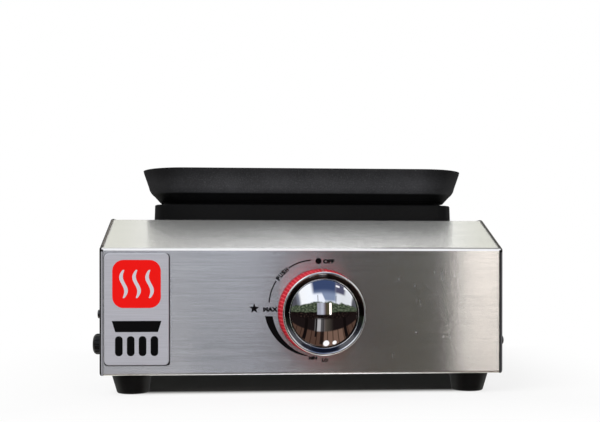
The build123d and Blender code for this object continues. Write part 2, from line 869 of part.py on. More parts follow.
def bracket_screws():
    seat = plate_top + bracket_sheet
    return joined(screw(M4, 4.0, (x, y, seat), (0, 0, -1)) for x, y in bracket_foot_places())


def valve_screw_places():
    return [(knob_x + side * valve_screw_span / 2, stem_z) for side in (-1, 1)]


def valve_screws():
    return joined(
        screw(M4, bracket_sheet + valve_cover + 3.5, (x, bracket_y, z), (0, 1, 0))
        for x, z in valve_screw_places()
    )


def valve_plate(y0, y1):
    plate = Plane((knob_x, y0, stem_z), x_dir=(1, 0, 0), z_dir=(0, 1, 0))
    outline = RectangleRounded(valve_flange_width, valve_flange_height, 8)
    return plate * extrude(outline, y1 - y0)


def valve_gland():
    """Plate that holds the stem's collar in the valve."""
    gland = valve_plate(cover_y, flange_y)
    gland -= rod_y(stem_radius + stem_fit, cover_y - 1, flange_y + 1, knob_x, stem_z)
    for x, z in valve_screw_places():
        gland -= rod_y(M4[0] + clearance_hole, cover_y - 1, flange_y + 1, x, z)
    return gland


def valve_body():
    """Casting with a bore for the plug, an inlet boss on the left and the jet's boss."""
    body = valve_plate(flange_y, flange_y + valve_flange)
    body += rod_y(valve_radius, flange_y, valve_end, knob_x, stem_z)
    body += rod_x(jet_boss_radius, pipe_end_x, knob_x, valve_port_y, stem_z)
    body += rod_y(jet_boss_radius, valve_end - 14, jet_y, pan_x, jet_z)
    web_y = valve_end - 10
    low, high = Vector(knob_x, web_y, stem_z), Vector(pan_x, web_y, jet_z)
    web = Plane((low + high) / 2, x_dir=(0, 1, 0), z_dir=high - low)
    body += web * Box(8, 12, (high - low).length)
    body -= rod_y(plug_radius, flange_y - 1, plug_end, knob_x, stem_z)
    body -= rod_x(port_radius, pipe_end_x - 1, knob_x, valve_port_y, stem_z)
    body -= rod_x(pipe_radius + thread_fit, pipe_end_x - 1, pipe_end_x + 8, valve_port_y, stem_z)
    body -= rod_y(port_radius, valve_end - 10, jet_y, pan_x, jet_z)
    body -= rod_y(
        jet_thread_radius + thread_fit, jet_y - jet_thread_length - 1, jet_y + 1, pan_x, jet_z
    )
    for x, z in valve_screw_places():
        body -= rod_y(M4[0] + thread_fit, flange_y - 1, flange_y + valve_flange + 1, x, z)
    return body


def d_shaft(radius, flat, y0, y1):
    """Round bar along Y with a flat on top."""
    bar = rod_y(radius, y0, y1, knob_x, stem_z)
    top = block(knob_x - 9, knob_x + 9, y0 - 1, y1 + 1, stem_z + flat, stem_z + 9)
    return bar - top


def valve_plug():
    """Turning plug with a cross port and a D-shaped socket for the stem."""
    plug = rod_y(plug_radius - plug_fit, plug_front, plug_end - sheet_gap, knob_x, stem_z)
    plug -= d_shaft(
        stem_radius + stem_fit, stem_flat + stem_fit, plug_front - 1, plug_front + plug_bore_depth
    )
    port_y = plug_end - 4
    return plug - rod_x(port_radius / 2, knob_x - plug_radius, knob_x + 1, port_y, stem_z)


def valve_stem():
    stem = d_shaft(stem_radius, stem_flat, stem_out, stem_in)
    back = flange_y + sheet_gap
    return stem + rod_y(stem_collar_radius, back, collar_end, knob_x, stem_z)


def stem_spring():
    """Coil that pushes the stem and knob out."""
    length = plug_front - collar_end - spring_wire - 2 * sheet_gap
    radius = (stem_radius + plug_radius) / 2
    coil = Helix(pitch=length / spring_turns, height=length, radius=radius)
    start = Plane(coil @ 0, z_dir=coil % 0)
    wire = sweep(start * Circle(spring_wire / 2), path=coil, is_frenet=True)
    back = collar_end + spring_wire / 2 + sheet_gap
    return Pos(knob_x, back, stem_z) * Rot(-90, 0, 0) * wire


def jet():
    """Brass nozzle screwed into the valve."""
    body = rod_y(jet_thread_radius, jet_y - jet_thread_length, jet_y, pan_x, jet_z)
    body += hex_bar(2 * jet_hex, jet_head, (pan_x, jet_y, jet_z), (0, 1, 0))
    nose = jet_y + jet_head
    body += rod_y(jet_nose_radius, nose - 1, nose + jet_nose, pan_x, jet_z)
    body -= rod_y(port_radius / 2, jet_y - jet_thread_length - 1, nose + 3, pan_x, jet_z)
    return body - rod_y(jet_hole_radius, nose, nose + jet_nose + 1, pan_x, jet_z)


def pipe_points():
    """Corners of the supply pipe, from the valve to the inlet."""
    return [
        (pipe_end_x + 7, valve_port_y, stem_z),
        (pipe_end_x - 46, valve_port_y, stem_z),
        (pipe_end_x - 84, inlet_y, inlet_height),
        (pipe_start_x - 7, inlet_y, inlet_height),
    ]


def supply_pipe():
    path = FilletPolyline(*pipe_points(), radius=pipe_bend)
    start = Plane(path @ 0, z_dir=path % 0)
    pipe = sweep(start * Circle(pipe_radius), path=path)
    return pipe - sweep(start * Circle(pipe_radius - 1), path=path)


def pipe_nuts():
    """Union nuts at the pipe's two ends."""
    nuts = []
    for x0, y, z in (
        (pipe_end_x - pipe_nut_length, valve_port_y, stem_z),
        (pipe_start_x, inlet_y, inlet_height),
    ):
        nut = hex_bar(pipe_nut_across, pipe_nut_length, (x0, y, z), (1, 0, 0))
        nuts.append(nut - rod_x(pipe_radius + thread_fit, x0 - 1, x0 + 20, y, z))
    return joined(nuts)


def gas_inlet():
    """Ribbed coupling on the left side with a threaded port that faces outwards."""
    out = inlet_x - inlet_reach
    head = rod_x(inlet_radius, out, inlet_x, inlet_y, inlet_height)
    head = fillet(head.edges().group_by(Axis.X)[0], inlet_round)
    for turn in range(inlet_ribs):
        angle = 2 * pi * turn / inlet_ribs
        y = inlet_y + (inlet_radius + 0.4) * cos(angle)
        z = inlet_height + (inlet_radius + 0.4) * sin(angle)
        head -= rod_x(inlet_rib_radius, out - 1, inlet_x - 3, y, z)
    stub = rod_x(inlet_stub_radius, inlet_x, pipe_start_x, inlet_y, inlet_height)
    inlet = head + stub
    inlet -= rod_x(inlet_port_radius, out - 1, out + inlet_port_depth, inlet_y, inlet_height)
    inlet -= rod_x(port_radius, out, pipe_start_x - 6, inlet_y, inlet_height)
    return inlet - rod_x(
        pipe_radius + thread_fit, pipe_start_x - 7, pipe_start_x + 1, inlet_y, inlet_height
    )


def inlet_locknut():
    at = (inlet_x + sheet, inlet_y, inlet_height)
    nut = hex_bar(locknut_across, locknut_length, at, (1, 0, 0))
    bore = inlet_stub_radius + thread_fit
    return nut - rod_x(bore, inlet_x - 1, inlet_x + 12, inlet_y, inlet_height)


# ---------------------------------------------------------------- spark igniter
def igniter_middle():
    width, length, height = igniter_size
    x = knob_x + valve_flange_width / 2 + igniter_gap + width / 2
    return x, cover_y + length / 2, stem_z + 4


def igniter_screw_place():
    x, _, z = igniter_middle()
    return x, z


def spark_igniter():
    """Clicker block bolted to the valve's bracket, with a terminal at its back."""
    x, y, z = igniter_middle()
    width, length, height = igniter_size
    case = Pos(x, y, z) * Box(width, length, height)
    case = fillet(case.edges().filter_by(Axis.Y), 2)
    case += rod_y(2.4, y + length / 2, y + length / 2 + 3, x, z)
    return case - rod_y(M3[0] + thread_fit, cover_y - 1, cover_y + 6, x, z)


def igniter_screw():
    x, z = igniter_screw_place()
    return joined([screw(M3, bracket_sheet + 4.5, (x, bracket_y, z), (0, 1, 0))])


def ignition_lead():
    x, y, z = igniter_middle()
    hole_x, hole_z = lead_hole()
    y += igniter_size[1] / 2 + 3
    points = [
        (x, y, z),
        (x, y + 10, z),
        (hole_x, shield_y - 10, hole_z),
        (hole_x, shield_y + 14, hole_z),
        (electrode_x, electrode_y, hole_z + 12),
        (electrode_x, electrode_y, tray_floor - insulator_drop()),
    ]
    path = FilletPolyline(*points, radius=6)
    start = Plane(path @ 0, z_dir=path % 0)
    return sweep(start * Circle(lead_radius), path=path)


def insulator_drop():
    """Length of the insulator that hangs below the tray's floor."""
    return 8.0


def electrode_insulator():
    """Ceramic sleeve through the tray's floor, with a collar on the floor."""
    z0 = tray_floor - insulator_drop()
    sleeve = rod_z(insulator_radius, z0, z0 + insulator_length, electrode_x, electrode_y)
    collar = tray_floor + sheet
    sleeve += rod_z(insulator_radius + 2, collar, collar + 3, electrode_x, electrode_y)
    bore = electrode_radius + thread_fit
    return sleeve - rod_z(bore, z0 + 3, z0 + 60, electrode_x, electrode_y)


def spark_electrode():
    """Wire that ends beside the burner's slots."""
    z0 = tray_floor - insulator_drop() + 4
    z1 = bowl_top + 4
    toward = Vector(pan_x - electrode_x, pan_y - electrode_y, 0).normalized()
    top = Vector(electrode_x, electrode_y, z1)
    end = top + toward * (electrode_standoff - 3.5)
    path = FilletPolyline((electrode_x, electrode_y, z0), top, end, radius=2)
    start = Plane(path @ 0, z_dir=path % 0)
    return sweep(start * Circle(electrode_radius), path=path)


# ---------------------------------------------------------------- knob
def ribbed_face(radius, y):
    """Toothed outline across Y for the knob's grip."""
    points = []
    for rib in range(knob_ribs):
        for share, depth in ((0.0, 0.0), (0.45, 0.0), (0.6, 1.0), (0.85, 1.0)):
            angle = 2 * pi * (rib + share) / knob_ribs
            reach = radius - depth * knob_rib_depth
            points.append((reach * cos(angle), reach * sin(angle)))
    plane = Plane((knob_x, y, stem_z), x_dir=(1, 0, 0), z_dir=(0, -1, 0))
    return plane * make_face(Polyline(*points, close=True))


def pointer_slot():
    return block(
        knob_x - pointer_width / 2,
        knob_x + pointer_width / 2,
        ring_front + 2,
        knob_back,
        stem_z + knob_front_radius - pointer_depth - 1,
        stem_z + knob_back_radius + 3,
    )


def knob_cone(grow):
    """Smooth taper of the grip, grown outwards."""
    return spin_y(
        [
            (0, knob_back),
            (knob_back_radius + grow, knob_back),
            (knob_front_radius + grow, ring_front),
            (0, ring_front),
        ],
        knob_x,
        stem_z,
    )


def knob_ring():
    """Ribbed grip of the knob, a little wider at the panel."""
    grip = loft(
        [ribbed_face(knob_back_radius, knob_back), ribbed_face(knob_front_radius, ring_front)],
        ruled=True,
    )
    grip -= rod_y(knob_bore_radius, ring_front - 1, knob_back + 1, knob_x, stem_z)
    return grip - pointer_slot()


def knob_pointer():
    """White inlay that shows the setting."""
    floor = knob_front_radius - pointer_depth
    rail = pointer_slot() & knob_cone(pointer_proud)
    return rail - rod_y(floor - 1.0, ring_front - 1, knob_back + 1, knob_x, stem_z)


def knob_cap():
    """Plated cap: a rolled rim, a cove and a mirror dome over a thin wall."""
    edge = cap_radius
    cove = cap_front + cove_depth
    rise = dome_height + cove_depth
    curve = (dome_radius**2 + rise**2) / (2 * rise)
    mid = degrees(atan2(dome_radius, curve - rise)) / 2
    apex = cap_front - dome_height
    middle = (curve * sin(radians(mid)), apex + curve * (1 - cos(radians(mid))))
    rim = Polyline((0, ring_front), (edge, ring_front), (edge, cap_front + 1.0))
    roll = ThreePointArc(
        (edge, cap_front + 1.0), (edge - 0.9, cap_front), (edge - 1.9, cap_front + 0.8)
    )
    dip = ThreePointArc(
        (edge - 1.9, cap_front + 0.8), (dome_radius + 2.0, cove), (dome_radius, cove)
    )
    dome = ThreePointArc((dome_radius, cove), middle, (0, apex))
    axis_line = Line((0, apex), (0, ring_front))
    outline = make_face(
        Wire(rim.edges() + roll.edges() + dip.edges() + dome.edges() + axis_line.edges())
    )
    cap = Pos(knob_x, 0, stem_z) * revolve(outline, Axis.Y)
    inner = curve - cap_wall
    ball_y = apex + curve
    room = Pos(knob_x, ball_y, stem_z) * Sphere(inner)
    room &= rod_y(dome_radius - cap_wall, ball_y - inner - 1, ring_front + 1, knob_x, stem_z)
    cap -= room
    spigot = knob_bore_radius - knob_fit
    skirt = rod_y(spigot, ring_front, ring_front + 2, knob_x, stem_z)
    return cap + (skirt - rod_y(dome_radius - cap_wall, ring_front - 1, ring_front + 3, knob_x, stem_z))


def knob_hub():
    """Moulded core: a boss on the stem and a web out to the grip."""
    web_back = ring_front + 2.5 + hub_web
    hub = rod_y(knob_bore_radius, ring_front + 2.5, web_back, knob_x, stem_z)
    hub += rod_y(hub_radius, ring_front + 2.5, knob_back - 2, knob_x, stem_z)
    return hub - d_shaft(stem_radius + stem_fit, stem_flat + stem_fit, stem_out - 1, knob_back)


def knob_clip():
    """Spring band that squeezes the boss on the stem."""
    y0 = knob_back - 4 - clip_width
    band = rod_y(hub_radius + clip_wall, y0, y0 + clip_width, knob_x, stem_z)
    band -= rod_y(hub_radius + thread_fit, y0 - 1, y0 + clip_width + 1, knob_x, stem_z)
    return band - block(knob_x - 1.5, knob_x + 1.5, y0 - 1, y0 + 9, stem_z - 20, stem_z)


def panel_bush():
    """Plastic bush that closes the panel's hole round the stem."""
    fit = bush_radius - stem_fit
    bush = rod_y(fit, -1.0, sheet + 2, knob_x, stem_z)
    bush += rod_y(bush_radius + bush_flange, -1.0, 0, knob_x, stem_z)
    bush += rod_y(bush_radius + 1.0, sheet + sheet_gap, sheet + 2, knob_x, stem_z)
    return bush - rod_y(stem_radius + 0.8, -2, 5, knob_x, stem_z)


# ---------------------------------------------------------------- all nodes
def nodes():
    """Node name to shape, in the box's own coordinates."""
    made = {
        "body_shell": body_shell(),
        "side_panel_left": side_panel(-1),
        "side_panel_right": side_panel(1),
        "side_screws": side_screws(),
        "base_plate": base_plate(),
        "base_screws": base_screws(),
        "foot_screws": foot_screws(),
        "foot_nuts": foot_nuts(),
        "badge_plate": badge_cover(),
        "badge_tape": badge_pad(),
        "pan_frame": pan_frame(),
        "frame_screws": frame_screws(),
        "pan": pan(),
        "heat_tray": heat_tray(),
        "burner_body": burner_body(),
        "burner_cap": burner_cap(),
        "burner_cap_screw": burner_cap_screw(),
        "burner_stand": burner_stand(),
        "burner_screws": burner_screws(),
        "mixing_tube": mixing_tube(),
        "air_shutter": air_shutter(),
        "heat_shield": heat_shield(),
        "shield_screws": shield_screws(),
        "valve_bracket": valve_bracket(),
        "bracket_screws": bracket_screws(),
        "valve_screws": valve_screws(),
        "valve_gland": valve_gland(),
        "valve_body": valve_body(),
        "valve_plug": valve_plug(),
        "valve_stem": valve_stem(),
        "stem_spring": stem_spring(),
        "jet": jet(),
        "supply_pipe": supply_pipe(),
        "pipe_nuts": pipe_nuts(),
        "gas_inlet": gas_inlet(),
        "inlet_locknut": inlet_locknut(),
        "spark_igniter": spark_igniter(),
        "igniter_screw": igniter_screw(),
        "ignition_lead": ignition_lead(),
        "electrode_insulator": electrode_insulator(),
        "spark_electrode": spark_electrode(),
        "knob_ring": knob_ring(),
        "knob_pointer": knob_pointer(),
        "knob_cap": knob_cap(),
        "knob_hub": knob_hub(),
        "knob_clip": knob_clip(),
        "panel_bush": panel_bush(),
    }
    names = ("front_left", "front_right", "back_left", "back_right")
    for name, (x, y) in zip(names, foot_places()):
        made[f"foot_{name}"] = foot(x, y)
    return made


os.makedirs("parts", exist_ok=True)
to_origin = Pos(-footprint_x, -footprint_y, 0)
for node, shape in nodes().items():
    export_step(to_origin * shape, f"parts/{node}.step")
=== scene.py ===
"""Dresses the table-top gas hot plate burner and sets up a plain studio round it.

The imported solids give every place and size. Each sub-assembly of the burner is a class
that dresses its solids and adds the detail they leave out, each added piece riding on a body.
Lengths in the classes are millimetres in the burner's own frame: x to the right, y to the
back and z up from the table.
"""

import json
import logging
import math
from collections.abc import Callable, Sequence
from dataclasses import dataclass
from enum import Enum

import bmesh
import bpy
from mathutils import Matrix, Vector


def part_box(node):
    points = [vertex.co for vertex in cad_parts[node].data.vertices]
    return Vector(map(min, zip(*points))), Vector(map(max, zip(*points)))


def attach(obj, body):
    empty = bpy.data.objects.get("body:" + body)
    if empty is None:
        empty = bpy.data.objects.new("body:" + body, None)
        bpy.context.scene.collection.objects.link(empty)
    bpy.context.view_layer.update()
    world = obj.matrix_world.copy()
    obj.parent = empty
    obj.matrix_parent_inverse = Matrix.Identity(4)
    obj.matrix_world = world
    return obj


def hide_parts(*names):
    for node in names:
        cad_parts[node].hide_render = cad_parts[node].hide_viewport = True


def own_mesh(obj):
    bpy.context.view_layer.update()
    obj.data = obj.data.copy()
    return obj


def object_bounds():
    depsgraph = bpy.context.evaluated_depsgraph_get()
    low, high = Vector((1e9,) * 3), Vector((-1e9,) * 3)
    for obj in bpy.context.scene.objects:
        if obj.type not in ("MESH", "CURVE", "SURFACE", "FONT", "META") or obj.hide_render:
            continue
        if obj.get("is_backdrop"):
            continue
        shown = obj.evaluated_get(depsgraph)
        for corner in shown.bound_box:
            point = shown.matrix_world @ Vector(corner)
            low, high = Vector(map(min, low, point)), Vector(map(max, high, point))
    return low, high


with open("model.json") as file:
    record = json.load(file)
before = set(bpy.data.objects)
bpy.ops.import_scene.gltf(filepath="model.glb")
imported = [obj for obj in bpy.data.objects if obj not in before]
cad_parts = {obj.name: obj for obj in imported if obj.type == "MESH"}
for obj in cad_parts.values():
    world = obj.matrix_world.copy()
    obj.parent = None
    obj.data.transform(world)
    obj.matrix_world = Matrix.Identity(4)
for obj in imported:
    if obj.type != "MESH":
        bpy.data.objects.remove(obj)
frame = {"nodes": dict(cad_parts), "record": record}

MM = 0.001
PANEL_FACE = -134.85  # y of the outside of the front panel
KNOB_RIBS = 72
KNOB_GROOVE = 15.5  # from the grip's front end to the groove round it
LETTER_WEIGHT = 0.07  # how far a letter's strokes grow, at a height of one
# painted shade: the dark lines and notches on the side panels' lips
PAINTED_SHADE_BLACK = (0.004, 0.004, 0.004)
BRIGHTEST = 2.6  # of the room; its ramps hold shares of this
BEND_SAMPLES = 6

Socket = bpy.types.NodeSocket
Material = bpy.types.Material
Mesh = bmesh.types.BMesh
Piece = bpy.types.Object
Colour = tuple[float, float, float]
Point = tuple[float, float]
Point3 = tuple[float, float, float]
Stops = tuple[tuple[float, Colour], ...]

log = logging.getLogger("hot_plate")


# ------------------------------------------------------------------ shader trees
class Graph:
    """Short calls that add nodes to one shader tree."""

    def __init__(self, tree: bpy.types.NodeTree) -> None:
        """Empties the tree and keeps it for the calls."""
        tree.nodes.clear()
        self.tree = tree

    def node(self, kind: str, inputs: dict | None = None, **settings: object) -> bpy.types.Node:
        """Adds one node.

        Args:
            kind: Blender's name of the node type without its "ShaderNode".
            inputs: Values or sockets by the input's name or number.
            **settings: Properties of the node.

        Returns:
            The new node.
        """
        made = self.tree.nodes.new("ShaderNode" + kind)
        for name, value in settings.items():
            setattr(made, name, value)
        for key, value in (inputs or {}).items():
            if isinstance(value, Socket):
                self.tree.links.new(value, made.inputs[key])
            else:
                made.inputs[key].default_value = value
        return made

    def math(self, operation: str, *values: Socket | float) -> Socket:
        """Adds a Math node and returns its result."""
        return self.node("Math", dict(enumerate(values)), operation=operation).outputs[0]

    def plus(self, a: Socket | float, b: Socket | float) -> Socket:
        """Sum of two numbers."""
        return self.math("ADD", a, b)

    def less(self, a: Socket | float, b: Socket | float) -> Socket:
        """The first number less the second."""
        return self.math("SUBTRACT", a, b)

    def times(self, a: Socket | float, b: Socket | float) -> Socket:
        """Product of two numbers."""
        return self.math("MULTIPLY", a, b)

    def line(self, value: Socket, slope: Socket | float, start: Socket | float) -> Socket:
        """Straight line through a start, at a value."""
        return self.math("MULTIPLY_ADD", value, slope, start)

    def most(self, a: Socket | float, b: Socket | float) -> Socket:
        """The greater of two numbers."""
        return self.math("MAXIMUM", a, b)

    def off(self, value: Socket, middle: float = 0.0) -> Socket:
        """How far a value is from a middle, either way."""
        return self.math("ABSOLUTE", self.less(value, middle) if middle else value)

    def step(
        self, value: Socket, start: float, end: float, low: float = 0.0, high: float = 1.0
    ) -> Socket:
        """Moves a value smoothly from low to high between two limits.

        Args:
            value: The value to read.
            start: Where the result is low.
            end: Where the result is high.
            low: Result before the start.
            high: Result after the end.

        Returns:
            The smooth step.
        """
        inputs = {0: value, 1: start, 2: end, 3: low, 4: high}
        return self.node("MapRange", inputs, interpolation_type="SMOOTHSTEP").outputs[0]

    def ease(self, place: Socket, limits: Point, low: float = 0.0, high: float = 1.0) -> Socket:
        """Step of a place in metres between two limits in millimetres."""
        return self.step(place, limits[0] * MM, limits[1] * MM, low, high)

    def window(self, value: Socket, start: float, end: float, soft: float) -> Socket:
        """One between two limits and nought outside, with soft sides.

        Args:
            value: The value to read.
            start: Lower limit.
            end: Upper limit.
            soft: Width of each soft side.

        Returns:
            The mask.
        """
        rise = self.step(value, start - soft / 2, start + soft / 2)
        fall = self.step(value, end - soft / 2, end + soft / 2, 1.0, 0.0)
        return self.times(rise, fall)

    def mix(
        self, share: Socket | float, a: Socket | Colour, b: Socket | Colour, blend: str = "MIX"
    ) -> Socket:
        """Mixes two colours.

        Args:
            share: How much of b shows.
            a: First colour.
            b: Second colour.
            blend: Blender's name of the way they mix.

        Returns:
            The mixed colour.
        """
        a, b = (c if isinstance(c, Socket) else (*c, 1.0) for c in (a, b))
        made = self.node("Mix", {0: share, 6: a, 7: b}, data_type="RGBA", blend_type=blend)
        return made.outputs[2]

    def dim(self, colour: Socket | Colour, share: Socket) -> Socket:
        """A colour times the same share in red, green and blue."""
        grey = self.node("CombineXYZ", {0: share, 1: share, 2: share}).outputs[0]
        return self.mix(1.0, colour, grey, "MULTIPLY")

    def axes(self, point: Socket) -> Sequence[Socket]:
        """The x, y and z of a point or a direction."""
        return self.node("SeparateXYZ", {0: point}).outputs

    def ramp(self, value: Socket, stops: Sequence[tuple[float, Colour]]) -> Socket:
        """Turns a value from 0 to 1 into the colours of some stops.

        Args:
            value: The value to read.
            stops: Each place from 0 to 1 and its colour.

        Returns:
            The colour.
        """
        made = self.node("ValToRGB", {0: value})
        elements = made.color_ramp.elements
        while len(elements) < len(stops):
            elements.new(0.5)
        for element, (place, colour) in zip(elements, stops):
            element.position, element.color = place, (*colour, 1.0)
        return made.outputs[0]

    def place(self, scale: Point3 = (1, 1, 1), turn: Point3 = (0, 0, 0)) -> Socket:
        """The point on the piece in its own coordinates, scaled and turned.

        Args:
            scale: Factors along x, y and z.
            turn: Angles about x, y and z, in radians.

        Returns:
            The point.
        """
        point = self.node("TexCoord").outputs["Object"]
        inputs = {"Vector": point, "Scale": scale, "Rotation": turn}
        return self.node("Mapping", inputs).outputs[0]

    def noise(self, point: Socket, scale: float, detail: float = 2.0, rough: float = 0.5) -> Socket:
        """Cloud-like noise from 0 to 1 at a point."""
        inputs = {"Vector": point, "Scale": scale, "Detail": detail, "Roughness": rough}
        return self.node("TexNoise", inputs).outputs["Fac"]

    def cells(self, point: Socket, scale: float) -> bpy.types.Node:
        """Voronoi cells round a point."""
        return self.node("TexVoronoi", {"Vector": point, "Scale": scale})

    def bend(self, radius: float) -> Socket:
        """Normal of a surface whose edges are bent round a radius in millimetres."""
        return self.node("Bevel", {"Radius": radius * MM}, samples=BEND_SAMPLES).outputs[0]

    def mirrored(self) -> Socket:
        """One for rays that a bright or clear surface sends on, and nought for the rest."""
        path = self.node("LightPath").outputs
        return self.most(path["Is Glossy Ray"], path["Is Transmission Ray"])

    def lean(self, tilt: Socket, along: Colour, amount: float, normal: Socket) -> Socket:
        """Leans the surface to either side of a grain.

        Args:
            tilt: How far it leans, from -0.5 to 0.5.
            along: Direction of the grain.
            amount: Lean of a tilt of 1, as a slope.
            normal: Normal of the smooth surface.

        Returns:
            The new normal.
        """
        aside = self.node("VectorMath", {0: normal, 1: along}, operation="CROSS_PRODUCT").outputs[0]
        share = self.times(tilt, amount)
        moved = self.node("VectorMath", {0: aside, "Scale": share}, operation="SCALE").outputs[0]
        total = self.node("VectorMath", {0: normal, 1: moved}, operation="ADD").outputs[0]
        return self.node("VectorMath", {0: total}, operation="NORMALIZE").outputs[0]

    def bump(self, height: Socket, distance: float, normal: Socket | None = None) -> Socket:
        """Raises the surface by a height.

        Args:
            height: Height from 0 to 1.
            distance: Millimetres that a height of 1 stands for.
            normal: Normal of a bump below this one.

        Returns:
            The new normal.
        """
        inputs = {"Height": height, "Distance": distance * MM}
        if normal is not None:
            inputs["Normal"] = normal
        return self.node("Bump", inputs).outputs[0]


# ------------------------------------------------------------------ finishes
class Grain(Enum):
    """Way the abrasive went over a steel sheet."""

    ACROSS = (1.0, 0.0, 0.0)
    FRONT_TO_BACK = (0.0, 1.0, 0.0)

    def stretch(self, length: float, width: float) -> Point3:
        """Scale that turns even noise into lines of one length and width in millimetres."""
        return tuple(1 / (MM * (length if along else width)) for along in self.value)


@dataclass(frozen=True)
class Finish:
    """What every finish shares: a name and a material made of nodes."""

    name: str

    def material(self) -> Material:
        """Makes the Blender material.

        Returns:
            The new material.
        """
        made = bpy.data.materials.new(self.name)
        made.use_nodes = True
        graph = Graph(made.node_tree)
        shader = graph.node("BsdfPrincipled", self.shade(graph))
        graph.node("OutputMaterial", {"Surface": shader.outputs[0]})
        return made

    def shade(self, graph: Graph) -> dict:
        """Inputs of the principled shader, by name."""
        raise NotImplementedError


@dataclass(frozen=True)
class Mark:
    """One nick or scratch in the front panel."""

    x: float
    z: float
    length: float
    width: float = 0.5
    lean: float = 0.0
    weight: float = 1.0

    def mask(self, graph: Graph, x: Socket, z: Socket) -> Socket:
        """One on the mark and nought off it.

        Args:
            graph: The shader tree.
            x: Place from side to side.
            z: Height.

        Returns:
            The mask.
        """
        lean = math.radians(self.lean)
        right = graph.less(x, self.x * MM)
        up = graph.less(z, self.z * MM)
        along = graph.line(up, math.cos(lean), graph.times(right, math.sin(lean)))
        beside = graph.line(right, math.cos(lean), graph.times(up, -math.sin(lean)))
        half, wide = self.length / 2 * MM, self.width / 2 * MM
        ends = graph.step(graph.off(along), half * 0.5, half, 1.0, 0.0)
        sides = graph.step(graph.off(beside), wide * 0.3, wide, 1.0, 0.0)
        return graph.times(graph.times(ends, sides), self.weight)


